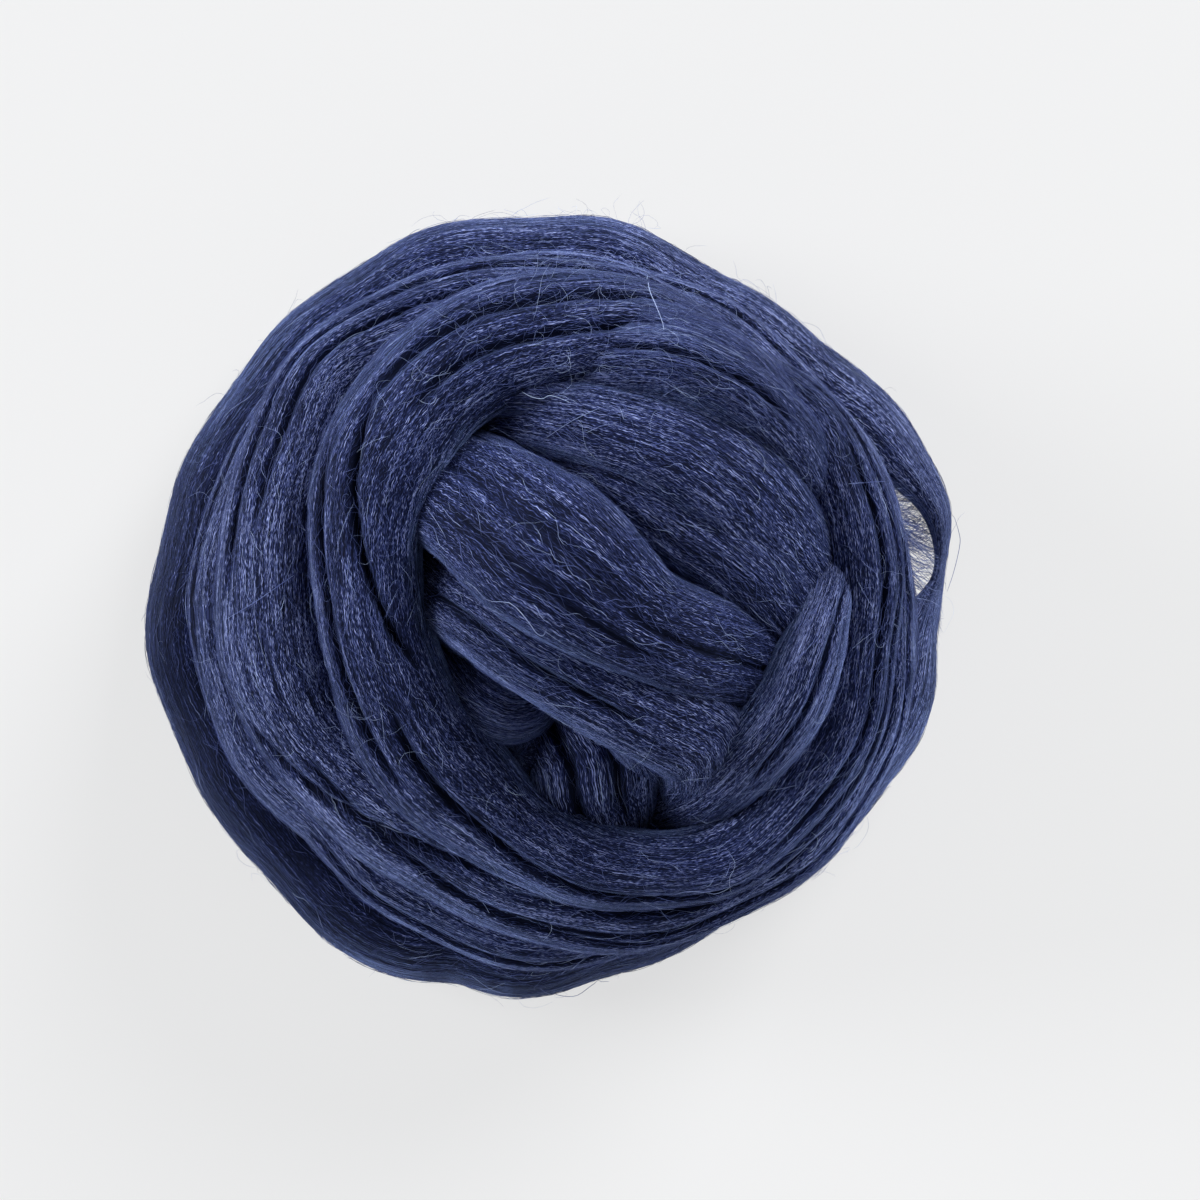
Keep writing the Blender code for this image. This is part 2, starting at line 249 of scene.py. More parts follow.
# %% Tables of the turns
FLOOR_TURN = (
    (14, 80.8, 11.0, 14.0, 6.0),
    (24, 76.5, 12.0, 22.0, 11.0),
    (32, 72.0, 12.0, 25.0, 16.0),
    (40, 67.5, 12.0, 27.0, 21.0),
    (60, 65.5, 12.0, 27.0, 21.0),
    (85, 68.5, 12.0, 27.0, 22.0),
    (115, 69.5, 12.0, 27.0, 22.0),
    (150, 69.5, 12.0, 27.0, 21.0),
    (185, 72.0, 12.0, 27.0, 22.0),
    (215, 70.0, 12.0, 27.0, 22.0),
    (242, 72.0, 12.0, 27.0, 22.0),
    (256, 69.0, 12.0, 27.0, 22.0),
    (270, 68.5, 12.0, 27.0, 22.0),
    (298, 63.5, 12.0, 27.0, 22.0),
    (325, 66.0, 12.0, 27.0, 22.0),
    (345, 70.5, 12.0, 26.0, 19.0),
    (357, 75.2, 11.0, 15.0, 8.0),
    (365, 79.6, 10.0, 6.0, 2.2),
)

SECOND_TURN = (
    (0, 63.0, 31.0, 20.0, 17.0),
    (20, 62.5, 31.0, 20.0, 17.0),
    (45, 60.0, 30.0, 21.0, 18.0),
    (70, 60.0, 30.0, 22.0, 18.0),
    (100, 60.5, 30.0, 22.0, 18.0),
    (130, 61.0, 30.0, 21.0, 18.0),
    (160, 61.5, 31.0, 21.0, 18.0),
    (185, 62.0, 32.0, 21.0, 18.0),
    (205, 61.0, 32.0, 20.0, 18.0),
    (222, 58.5, 32.0, 18.0, 18.0),
    (240, 60.0, 33.0, 16.0, 18.0),
    (262, 63.5, 34.0, 15.0, 17.0),
    (282, 62.5, 33.0, 17.0, 17.0),
    (305, 61.0, 30.0, 20.0, 18.0),
    (330, 63.5, 30.0, 20.0, 17.0),
    (345, 65.0, 31.0, 20.0, 16.0),
)

THIRD_TURN = (
    (58, 58.0, 42.0, 14.0, 12.0),
    (75, 59.0, 49.0, 16.0, 13.0),
    (95, 58.5, 54.0, 18.0, 14.0),
    (115, 59.5, 55.0, 19.0, 14.0),
    (133, 60.5, 53.0, 19.0, 14.0),
    (150, 57.0, 53.5, 22.0, 14.0),
    (168, 54.0, 54.0, 25.0, 14.0),
    (184, 53.5, 52.5, 25.0, 14.0),
    (196, 53.0, 51.0, 25.0, 14.0),
    (210, 52.5, 50.0, 25.0, 13.0),
    (228, 50.5, 50.0, 25.0, 13.0),
    (246, 51.5, 50.0, 23.0, 13.0),
    (264, 55.0, 48.5, 23.0, 13.0),
    (282, 59.5, 46.5, 22.0, 14.0),
    (300, 62.5, 44.5, 20.0, 15.0),
    (318, 65.0, 42.5, 18.0, 15.0),
    (336, 66.0, 41.0, 16.0, 14.0),
    (354, 64.5, 42.0, 14.0, 13.0),
    (375, 63.0, 42.0, 14.0, 13.0),
    (395, 61.0, 40.0, 15.0, 13.0),
    (415, 57.0, 37.0, 15.0, 12.0),
    (435, 53.0, 34.0, 12.0, 10.0),
)

INNER_TURN = (
    (48, 54.0, 46.0, 14.0, 11.0),
    (62, 56.0, 57.0, 18.0, 13.0),
    (78, 53.5, 64.0, 22.0, 15.0),
    (98, 50.0, 67.0, 25.0, 16.0),
    (118, 46.0, 68.0, 26.0, 17.0),
    (138, 41.0, 68.0, 24.0, 17.0),
    (158, 36.5, 68.0, 22.0, 17.0),
    (180, 33.0, 67.0, 22.0, 17.0),
    (202, 32.5, 65.5, 22.0, 17.0),
    (224, 35.0, 63.0, 23.0, 17.0),
    (246, 38.5, 59.5, 24.0, 16.0),
    (266, 45.0, 56.5, 19.0, 15.0),
    (284, 51.5, 54.5, 15.0, 16.0),
    (302, 57.5, 54.5, 13.0, 16.0),
    (320, 59.5, 55.0, 14.0, 17.0),
    (338, 59.5, 56.0, 14.0, 18.0),
    (356, 58.5, 57.0, 14.0, 18.0),
    (374, 59.5, 58.0, 14.0, 18.0),
    (390, 59.5, 54.5, 14.0, 17.0),
    (406, 58.0, 48.0, 13.0, 14.0),
    (420, 54.0, 42.0, 11.0, 10.0),
)

# %% Tables of the heart's strands
LIP = (
    (-6, 50, 58, 6, 6),
    (6, 52, 65, 9, 8),
    (18, 52, 66, 11, 9),
    (29, 49, 64, 11, 9),
    (38, 43, 60, 11, 9),
    (45, 35, 55, 10, 9),
    (50, 26, 49, 8, 8),
)

SIDE_LOCK = (
    (54, 11, 54, 6, 7),
    (53, 4, 61, 8, 9),
    (51, -3, 66, 10, 11),
    (48.5, -10, 69, 12, 13),
    (45, -18, 69, 13, 14),
    (40, -25.5, 66, 14, 14),
    (33.5, -32.5, 59, 14, 13),
    (26, -38, 49, 13, 11),
    (17, -43, 38, 10, 8),
)

TOP_FAN = (
    (-2, 46, 52, 9, 9),
    (7, 50, 60, 13, 11),
    (16, 50, 66, 14, 12),
    (26, 47, 68, 14, 12),
    (34, 43, 67, 13, 12),
    (40, 37, 64, 12, 11),
    (45, 30, 59, 11, 10),
    (49, 22, 52, 9, 9),
)

MIDDLE_FAN = (
    (-6, 38, 50, 8, 8),
    (3, 42.5, 60, 12, 11),
    (12, 45, 68, 14, 12),
    (22, 44.5, 72, 15, 13),
    (31, 41, 73, 14, 13),
    (39, 36, 70, 14, 12),
    (45.5, 30, 65, 13, 11),
    (50, 23, 58, 11, 9),
    (53, 16, 50, 8, 8),
)

LOW_FAN = (
    (-14, 35, 57, 8, 7),
    (-6, 35.5, 65, 12, 10),
    (4, 34.5, 70, 16, 12),
    (15, 32, 73, 20, 13),
    (26, 27.5, 74, 22, 13),
    (35, 21.5, 72, 22, 13),
    (42.5, 14, 67, 20, 12),
    (48, 7, 60, 17, 11),
    (51, 1, 52, 13, 9),
)

EDGE_STRAND = (
    (1, 27, 67, 10, 8),
    (9, 24.5, 71, 14, 11),
    (18, 20.5, 73, 17, 12),
    (27, 15, 73, 19, 13),
    (35, 9, 71, 19, 13),
    (41.5, 2.5, 66, 18, 12),
    (46, -3.5, 58, 15, 10),
    (48.5, -9, 50, 11, 8),
)

BROAD_STRAND = (
    (-27, 26, 50, 18, 9),
    (-20, 23, 62, 23, 12),
    (-12, 18.5, 75, 27, 14),
    (-4, 12.5, 82, 28, 15),
    (4, 6.5, 85, 27, 15),
    (11, 1, 84, 25, 15),
    (18, -3.5, 81, 22, 14),
    (26, -7, 76, 20, 14),
    (34, -9.5, 69, 18, 13),
    (41, -11.5, 60, 16, 11),
    (46, -13, 51, 12, 9),
)

LOWER_STRAND = (
    (-25, 9, 54, 12, 9),
    (-19, 3, 65, 15, 11),
    (-11, -2.5, 74, 17, 12),
    (-3, -8, 78, 17, 13),
    (5, -12.5, 79, 17, 13),
    (13, -16.5, 77, 18, 13),
    (21, -20.5, 73, 19, 13),
    (28, -25, 67, 20, 12),
    (29, -31.5, 59, 16, 11),
    (25, -38, 49, 11, 9),
)

UNDER_STRAND = (
    (-22, 1, 52, 8, 8),
    (-17, -4, 61, 9, 10),
    (-9, -8.5, 68, 9, 11),
    (-1, -13, 71, 9, 11),
    (7, -17.5, 71, 9, 11),
    (13.5, -22, 67, 10, 11),
    (18, -28, 60, 10, 10),
    (20, -34, 51, 8, 8),
)

LENS_LOCK = (
    (-15, 38, 62, 5, 6),
    (-8, 39, 68, 9, 9),
    (-1, 39, 70, 10, 9),
    (7, 37, 69, 8, 8),
    (14, 35, 65, 5, 6),
)

SMALL_CURL = (
    (-21, -5, 54, 7, 8),
    (-18.5, -11, 60, 9, 9),
    (-14, -17, 64, 11, 10),
    (-8, -20.5, 64, 11, 10),
    (-3, -19.5, 60, 9, 9),
    (-1, -15, 53, 6, 7),
)

DEEP_LOCK = (
    (2, -16, 48, 16, 9),
    (5, -22, 56, 22, 12),
    (8, -28, 59, 24, 13),
    (9, -34, 57, 23, 13),
    (11, -40, 49, 19, 12),
    (12, -44, 38, 14, 10),
)

# %% [markdown]
# Creases
#
# Where a strand bends, it parts into locks, and a long dark crease shows between them. The main
# ones are placed one by one, as on the solid. A crease runs from one row of its strand's table
# to another, and from one place across the strand to another: -1 and 1 are the two edges, 1
# being the outer edge of a turn. Its depth is in millimetres and its half width is a share of
# half the strand.

# %% Tables of the creases
FLOOR_CREASES = (
    (3.0, 7.5, 0.35, 0.15, 1.6, 0.22),
    (7.0, 14.5, 0.20, 0.30, 1.2, 0.22),
)

SECOND_CREASES = (
    (1.0, 7.5, 0.10, 0.25, 1.6, 0.20),
    (9.0, 15.0, -0.10, 0.10, 1.6, 0.20),
)

THIRD_CREASES = (
    (0.5, 6.8, 0.30, 0.40, 1.5, 0.18),
    (1.0, 6.0, -0.35, -0.15, 1.4, 0.18),
    (8.3, 12.2, 0.60, -0.85, 2.2, 0.16),
    (9.0, 14.5, -0.20, 0.55, 1.4, 0.16),
    (11.0, 18.5, 0.10, 0.20, 1.6, 0.18),
    (11.5, 20.0, -0.45, -0.35, 1.4, 0.18),
)

INNER_CREASES = (
    (1.0, 4.6, 0.00, 0.30, 1.6, 0.18),
    (1.5, 4.4, -0.55, -0.40, 1.6, 0.16),
    (4.4, 8.0, 0.30, -0.85, 2.4, 0.16),
    (5.0, 9.5, 0.60, 0.35, 1.5, 0.16),
    (8.2, 13.5, -0.20, 0.20, 1.6, 0.18),
    (13.0, 19.0, 0.25, 0.35, 1.8, 0.18),
    (13.5, 18.0, -0.35, -0.25, 1.4, 0.18),
)

BROAD_CREASES = (
    (1.2, 5.5, -0.20, -0.10, 0.5, 0.20),
    (1.8, 6.5, 0.35, 0.50, 0.7, 0.18),
    (5.0, 9.5, 0.05, 0.10, 0.7, 0.20),
)

LOWER_CREASES = (
    (1.0, 5.5, 0.10, 0.25, 1.5, 0.22),
)

FAN_CREASES = (
    (1.0, 5.5, 0.10, 0.20, 1.6, 0.20),
)

LOCK_CREASES = (
    (0.5, 3.6, -0.35, -0.30, 1.8, 0.22),
    (0.5, 3.6, 0.30, 0.40, 1.8, 0.22),
)

# %% The list of strands
@dataclass
class Strand:
    """One stretch of the roving: its table, its creases and how it runs."""

    name: str
    rows: tuple
    creases: tuple = ()
    runs_round: bool = False     # its table gives bearings and radii
    is_ring: bool = False        # it closes on itself
    hairs: int = 300             # fibres laid on it
    painted_shade: float = 0.0           # painted shade: how much darker it is painted all over
    painted_far_shade: float = 0.0       # and painted shade on the side away from the windows


# The strands' shade values are painted shade: they darken the wool's colour as shade would.
STRANDS = (
    Strand("floor_turn", FLOOR_TURN, FLOOR_CREASES, True, True, hairs=1600, painted_far_shade=0.65),
    Strand("second_turn", SECOND_TURN, SECOND_CREASES, True, True, hairs=1300, painted_far_shade=0.1),
    Strand("third_turn", THIRD_TURN, THIRD_CREASES, True, hairs=1900, painted_shade=0.05),
    Strand("inner_turn", INNER_TURN, INNER_CREASES, True, hairs=1700, painted_shade=0.20),
    Strand("lip", LIP, hairs=200, painted_shade=0.20),
    Strand("side_lock", SIDE_LOCK, FAN_CREASES, hairs=250),
    Strand("top_fan", TOP_FAN, FAN_CREASES, hairs=400, painted_shade=0.20),
    Strand("middle_fan", MIDDLE_FAN, FAN_CREASES, hairs=500, painted_shade=0.15),
    Strand("low_fan", LOW_FAN, hairs=350, painted_shade=0.15),
    Strand("edge_strand", EDGE_STRAND, hairs=250, painted_shade=0.20),
    Strand("broad_strand", BROAD_STRAND, BROAD_CREASES, hairs=600, painted_shade=0.30),
    Strand("lower_strand", LOWER_STRAND, LOWER_CREASES, hairs=350, painted_shade=0.10),
    Strand("under_strand", UNDER_STRAND, hairs=150, painted_shade=0.10),
    Strand("lens_lock", LENS_LOCK, hairs=60, painted_shade=0.20),
    Strand("small_curl", SMALL_CURL, hairs=120, painted_shade=0.10),
    Strand("deep_lock", DEEP_LOCK, LOCK_CREASES, hairs=200),
)
print(len(STRANDS), "strands")

# %% [markdown]
# From a table to a route
#
# A strand has to run smoothly through the rows of its table. A Catmull-Rom curve does that:
# between two rows it also heeds the row before and the row after, so no joint shows. The
# same curve smooths the widths. The route is cut into sections about 1.5 mm apart.

# %% Route
ROW_STEP = 1.5


def table_values(strand):
    """The rows of a table as x, y, height, across and through."""
    values = np.array(strand.rows, float)
    if strand.runs_round:
        angle = np.radians(values[:, 0])
        radius = values[:, 1].copy()
        values[:, 0] = radius * np.cos(angle)
        values[:, 1] = radius * np.sin(angle)
    return values


def curve_values(before, start, end, after, share):
    """A smooth curve from start to end that also heeds its two neighbours."""
    pull_in = (end - before) * 0.5
    pull_out = (after - start) * 0.5
    square = share * share
    cube = square * share
    return (start * (2 * cube - 3 * square + 1) + pull_in * (cube - 2 * square + share)
            + end * (3 * square - 2 * cube) + pull_out * (cube - square))


def route(strand):
    """The sections of a strand and, for each, its row in the table."""
    values = table_values(strand)
    count = len(values)
    spans = count if strand.is_ring else count - 1
    sections = []
    numbers = []
    for index in range(spans):
        if strand.is_ring:
            four = [values[(index + shift) % count] for shift in (-1, 0, 1, 2)]
        else:
            four = [values[min(max(index + shift, 0), count - 1)] for shift in (-1, 0, 1, 2)]
        steps = max(2, round(np.linalg.norm(four[2][:3] - four[1][:3]) / ROW_STEP))
        share = np.arange(steps) / steps
        sections.append(curve_values(*four, share[:, None]))
        numbers.append(index + share)
    if not strand.is_ring:
        sections.append(values[-1:])
        numbers.append([spans])
    return np.concatenate(sections), np.concatenate(numbers)


for strand in STRANDS:
    if strand.runs_round:
        print(strand.name, "has", len(route(strand)[0]), "sections")

# %% [markdown]
# Locks and fine ridges
#
# Combed wool never lies as one smooth band. It gathers in locks, then in finer bundles, all
# running along the strand, rounded on top with sharp valleys between. The absolute value of
# a sine has just that shape, so several of them, from broad to fine, are added up. Slow
# waves along the strand let the bundles wander, swell and fade. Everything is seeded, so
# the nest comes out the same each time.

# %% Relief
RIDGES = ((5, 0.10), (9, 0.10), (16, 0.08), (29, 0.05))   # ridges round, height in mm
SINE_MEAN = 0.64             # mean of the absolute value of a sine
DRIFT = 1.1                  # how far a ridge wanders, in radians of its own wave
DRIFT_WAVES = ((1.0, 90.0), (0.6, 37.0))    # share of the drift, mm in one wave
SWELL = 0.35                 # how much a ridge grows and shrinks along the strand
SWELL_WAVE = 60.0
CREASE_FADE = 0.15           # share of a crease's length in which each end fades out
CREASE_GAIN = 1.3            # the skin's creases are deeper than the solid's,
CREASE_SHARPNESS = 1.9       # and narrower by this much
SMALL_DEPTH = (0.08, 0.34)   # of the small creases, least and most
SMALL_WIDTH = (0.03, 0.07)   # as a share of half the strand
SMALL_LENGTH = (15.0, 50.0)
SMALL_SIDE = 0.95            # how near to a strand's edge one may start
SMALL_SLANT = 0.25           # how far across the strand one may run
SMALL_SPACING = 26.0         # one small crease for each so many mm of strand


def slow_wave(along, length, wave_length, random):
    """A wave between -1 and 1 along a strand, which also closes on a ring."""
    waves = max(1, round(length / wave_length))
    return np.sin(2 * np.pi * (waves * along / length + random.random()))


def ridge_height(along, angle, length, random):
    """Height of the bundles over a smooth strand, in mm."""
    height = np.zeros((len(along), len(angle)))
    for count, size in RIDGES:
        wander = DRIFT * sum(share * slow_wave(along, length, wave_length, random)
                             for share, wave_length in DRIFT_WAVES)
        swell = 1.0 + SWELL * slow_wave(along, length, SWELL_WAVE, random)
        phase = count * angle[None, :] / 2 + wander[:, None] + 2 * np.pi * random.random()
        height += size * swell[:, None] * (np.abs(np.sin(phase)) - SINE_MEAN)
    return height


def placed_creases(strand, numbers, side):
    """Depth of the creases of a strand's table, in mm."""
    dip = np.zeros((len(numbers), len(side)))
    for first_row, last_row, first_side, last_side, depth, width in strand.creases:
        share = (numbers - first_row) / (last_row - first_row)
        middle = first_side + (last_side - first_side) * share
        fade = np.clip(np.minimum(share, 1.0 - share) / CREASE_FADE, 0.0, 1.0)
        away = (side[None, :] - middle[:, None]) / width * CREASE_SHARPNESS
        dip = np.maximum(dip, CREASE_GAIN * depth * fade[:, None] / (1.0 + away ** 2) ** 2)
    return dip


def small_creases(along, length, side, random):
    """Depth of the many small creases between the locks, in mm."""
    dip = np.zeros((len(along), len(side)))
    for _ in range(int(length / SMALL_SPACING)):
        start = random.uniform(0.0, length)
        reach = random.uniform(*SMALL_LENGTH)
        first_side = random.uniform(-SMALL_SIDE, SMALL_SIDE)
        last_side = first_side + random.uniform(-SMALL_SLANT, SMALL_SLANT)
        depth = random.uniform(*SMALL_DEPTH)
        width = random.uniform(*SMALL_WIDTH)
        share = (along - start) / reach
        middle = first_side + (last_side - first_side) * share
        fade = np.clip(1.0 - (2 * share - 1.0) ** 2, 0.0, 1.0)
        away = (side[None, :] - middle[:, None]) / width
        dip = np.maximum(dip, depth * fade[:, None] / (1.0 + away ** 2) ** 2)
    return dip


# %% [markdown]
# From a route to a skin
#
# At each section the strand is a flattened oval: its broad side lies across the route and
# its thin side points away from the middle of the ball. The skin could be built face by
# face, but Blender's grid operator already makes rows and columns of clean faces. So a flat
# grid is made, each of its points is carried to its place on the strand, and the points
# that fall together along the seam and at the ends are welded.
#
# Two attributes go with the points. One, fibre, says where on the strand a point is, measured
# along it and round it, so that the material's fibres can follow the strand. The other, dip, is
# painted shade: how much darker the wool is painted there. It is high deep in a crease, on
# strands that lie in shade, and on the side of the ball that the windows don't reach, and low on
# the tops of the ridges.

# %% Skin of a strand
AIM_POINT = np.array((0.0, 0.0, -10.0))   # the broad sides face away from here
COLUMNS = 108
OUTER_SHARE = 0.70       # share of the columns on the half that faces outwards
SECTION_FULLNESS = 0.8   # 1 is an ellipse, less is a fuller section
UNEVEN = 0.05            # how much the two widths vary
BROAD_WAVE = 45.0        # mm in one wave of the broad side
THIN_WAVE = 31.0         # and of the thin side
TAPER = 7.0              # mm in which a free end closes
FULL_RELIEF = 5.0        # half width from which a strand has its whole relief
FIBRE_RADIUS = 9.5       # radius of the round pattern space that the fibres are drawn in
PAINTED_SHADE_BEARING = 215.0      # bearing of the side of the ball that is painted darker, as if the windows don't reach it
FULL_SHADE_DEPTH = 1.5      # mm of crease depth at which the painted shade is full
RIDGE_SHADE_PART = 0.5         # how much the ridges count in it: their tops painted lighter, valleys darker
TINY = 1e-9


@dataclass
class Skin:
    """The finished surface of a strand, as rows and columns of points in mm."""

    name: str
    places: np.ndarray
    outward: np.ndarray
    # dip: painted shade at each point, from 0 to 1
    dip: np.ndarray
    is_ring: bool
    hairs: int


def unit(vectors):
    """The same directions at length one."""
    return vectors / np.maximum(np.linalg.norm(vectors, axis=-1, keepdims=True), TINY)


def neighbours(values, is_ring):
    """The row before and the row after each row."""
    before = np.roll(values, 1, axis=0)
    after = np.roll(values, -1, axis=0)
    if not is_ring:
        before[0] = values[0]
        after[-1] = values[-1]
    return before, after


def column_angles():
    """Angle round the section of each column, closer together on the outer half."""
    share = np.arange(COLUMNS) / COLUMNS
    outer = np.pi * share / OUTER_SHARE
    inner = np.pi + np.pi * (share - OUTER_SHARE) / (1.0 - OUTER_SHARE)
    return np.where(share < OUTER_SHARE, outer, inner)


def outward_directions(places, is_ring):
    """Which way a skin faces at each of its points."""
    before, after = neighbours(places, is_ring)
    round_step = np.roll(places, -1, axis=1) - np.roll(places, 1, axis=1)
    return unit(np.cross(after - before, round_step))


def half_widths(sections, along, length, is_ring, random):
    """Half the broad and half the thin side of each section, closed at the free ends."""
    wide = sections[:, 3] / 2 * (1 + UNEVEN * slow_wave(along, length, BROAD_WAVE, random))
    high = sections[:, 4] / 2 * (1 + UNEVEN * slow_wave(along, length, THIN_WAVE, random))
    if is_ring:
        return wide, high
    nearer_end = np.clip(np.minimum(along, length - along) / TAPER, 0.0, 1.0)
    closing = np.sqrt(1.0 - (1.0 - nearer_end) ** 2)
    return wide * closing, high * closing


def painted_section_shade(strand, middle):
    """Painted shade of each section, most on the side away from the windows."""
    bearing = np.arctan2(middle[:, 1], middle[:, 0]) - math.radians(PAINTED_SHADE_BEARING)
    return strand.painted_shade + strand.painted_far_shade * (0.5 + 0.5 * np.cos(bearing))


def strand_skin(strand, random):
    """Work out the surface of a strand and the attributes of its points."""
    sections, numbers = route(strand)
    middle = sections[:, :3]
    before, after = neighbours(middle, strand.is_ring)
    ahead = unit(after - before)
    up = middle - AIM_POINT
    up = unit(up - ahead * np.sum(up * ahead, axis=1, keepdims=True))
    sideways = np.cross(ahead, up)
    steps = np.linalg.norm(after - middle, axis=1)
    along = np.concatenate(([0.0], np.cumsum(steps[:-1])))
    length = along[-1] + (steps[-1] if strand.is_ring else 0.0)

    wide, high = half_widths(sections, along, length, strand.is_ring, random)
    angle = column_angles()
    side = np.cos(angle)
    rise = np.sign(np.sin(angle)) * np.abs(np.sin(angle)) ** SECTION_FULLNESS
    places = (middle[:, None] + sideways[:, None] * (wide[:, None] * side)[..., None]
              + up[:, None] * (high[:, None] * rise)[..., None])

    size = np.clip(np.minimum(wide, high) / FULL_RELIEF, 0.0, 1.0)[:, None]
    dip = np.maximum(placed_creases(strand, numbers, side),
                     small_creases(along, length, side, random)) * (rise > 0.0)
    height = ridge_height(along, angle, length, random)
    relief = (size * (height - dip))[..., None]
    places = places + outward_directions(places, strand.is_ring) * relief
    places[..., 2] = np.maximum(places[..., 2], 0.0)

    pattern = np.empty_like(places)
    pattern[..., 0] = (np.abs(along - length / 2) if strand.is_ring else along)[:, None]
    pattern[..., 1] = FIBRE_RADIUS * side
    pattern[..., 2] = FIBRE_RADIUS * np.sin(angle)
    # Painted shade: darker deep in creases, on shaded strands and on the far side, lighter on
    # ridge tops.
    painted_shade = painted_section_shade(strand, middle)[:, None]
    painted_darkness = np.clip((dip - RIDGE_SHADE_PART * height) / FULL_SHADE_DEPTH + painted_shade, 0.0, 1.0)
    outward = outward_directions(places, strand.is_ring)
    return Skin(strand.name, places, outward, painted_darkness, strand.is_ring, strand.hairs), pattern


# %% From a form to a piece
WELD_REACH = 0.0001      # points nearer than this are one


def form_piece(form, name, material):
    """Turn a closed form into a smooth piece of the ball."""
    bmesh.ops.recalc_face_normals(form, faces=form.faces)
    mesh = bpy.data.meshes.new(name)
    form.to_mesh(mesh)
    form.free()
    mesh.shade_smooth()
    return show_mesh(name, mesh, material)


def weld_skin(skin, pattern, material):
    """Carry a flat grid on to the skin's places and close it up."""
    rows, columns = skin.dip.shape
    row_steps = rows if skin.is_ring else rows - 1
    places = (skin.places * MM).tolist()
    marks = pattern.tolist()
    # The dip attribute carries each point's painted shade.
    painted_shades = skin.dip.tolist()
    form = bmesh.new()
    fibre_layer = form.verts.layers.float_vector.new("fibre")
    painted_shade_layer = form.verts.layers.float.new("dip")
    half = 0.5               # of the flat grid, which is one unit wide
    bmesh.ops.create_grid(form, x_segments=row_steps, y_segments=columns, size=half)
    for vertex in form.verts:
        row = round((vertex.co.x + half) * row_steps) % rows
        column = round((vertex.co.y + half) * columns) % columns
        vertex.co = places[row][column]
        vertex[fibre_layer] = marks[row][column]
        vertex[painted_shade_layer] = painted_shades[row][column]
    bmesh.ops.remove_doubles(form, verts=form.verts, dist=WELD_REACH * MM)
    bmesh.ops.dissolve_degenerate(form, edges=form.edges, dist=WELD_REACH * MM)
    return form_piece(form, skin.name, material)


# %% [markdown]
# The wool's surface
#
# Between the ridges that are modelled lie thousands of fibres thinner than a tenth of a
# millimetre, which only the material can show. Noise is stretched along the strand, so its spots
# become fibres, and a small wave shifts them sideways as the crimp of wool does. The same noise
# varies the colour at random, from a nearly black painted shade between fibres to a pale blue
# painted highlight on the few that would catch the light, and a bump that lets light and shade
# follow them. The dip attribute adds painted shade on top. Wool also has a soft sheen at grazing
# angles, from all the fibre ends that stand up.

# %% Wool material
CRIMP_LENGTH = 2.2
CRIMP_SIZE = 0.06
CRIMP_DRIFT = 9.0            # how far the crimp falls out of step, in radians
NOISE_ROUGHNESS = 0.6
NOISE_MEAN = 0.5
DRIFT_SPOTS = (0.07, 0.5, 0.5)       # spots in a mm along the strand and across it
FINE_SPOTS = (0.16, 10.0, 10.0)
GRAIN_SPOTS = (1.30, 11.0, 11.0)
BUNDLE_SPOTS = (0.04, 1.3, 1.3)
PATCH_SPOTS = (0.03, 0.12, 0.12)
FINE_WEIGHT = 1.9            # how much each noise counts in the colour
GRAIN_WEIGHT = 2.0
BUNDLE_WEIGHT = 1.2
PATCH_WEIGHT = 0.4
PAINTED_SHADE_FLATTENS = 0.6           # how much of the contrast is lost where the painted shade is full
PAINTED_SHADE_DARKENS = 0.4            # and how far the tone falls there, as painted shade
# The dark end is painted shade between fibres and the pale end a painted highlight; between them
# the tone varies at random.
WOOL_STOPS = (
    (0.15, (0.003, 0.005, 0.018, 1.0)),
    (0.40, (0.010, 0.015, 0.054, 1.0)),
    (0.60, (0.024, 0.034, 0.118, 1.0)),
    (0.80, (0.080, 0.104, 0.290, 1.0)),
    (1.00, (0.360, 0.420, 0.740, 1.0)),
)
WOOL_TONE = 0.42             # place on the ramp of the wool's mean colour
SHEEN_TINT = (0.34, 0.48, 1.0, 1.0)
WOOL_FINISH = {
    "Sheen Weight": 0.55,
    "Sheen Roughness": 0.25,
    "Sheen Tint": SHEEN_TINT,
    "Specular IOR Level": 0.06,
}
WOOL_ROUGHNESS = 0.72
FINE_GLOSS = 0.15            # how much smoother the lightest fibres are
BUMP_DEPTH = 0.5
FINE_BUMP = 0.3              # how much of the bump each noise makes
BUNDLE_BUMP = 0.8


def noise(tree, place, scale, detail):
    """Noise at its own scale for each axis of the place."""
    stretched = add_node(tree, "ShaderNodeVectorMath", {"operation": "MULTIPLY"},
                         {0: place, 1: scale})
    return add_node(tree, "ShaderNodeTexNoise", {"noise_dimensions": "3D"},
                    {"Vector": stretched, "Scale": 1.0, "Detail": detail,
                     "Roughness": NOISE_ROUGHNESS})


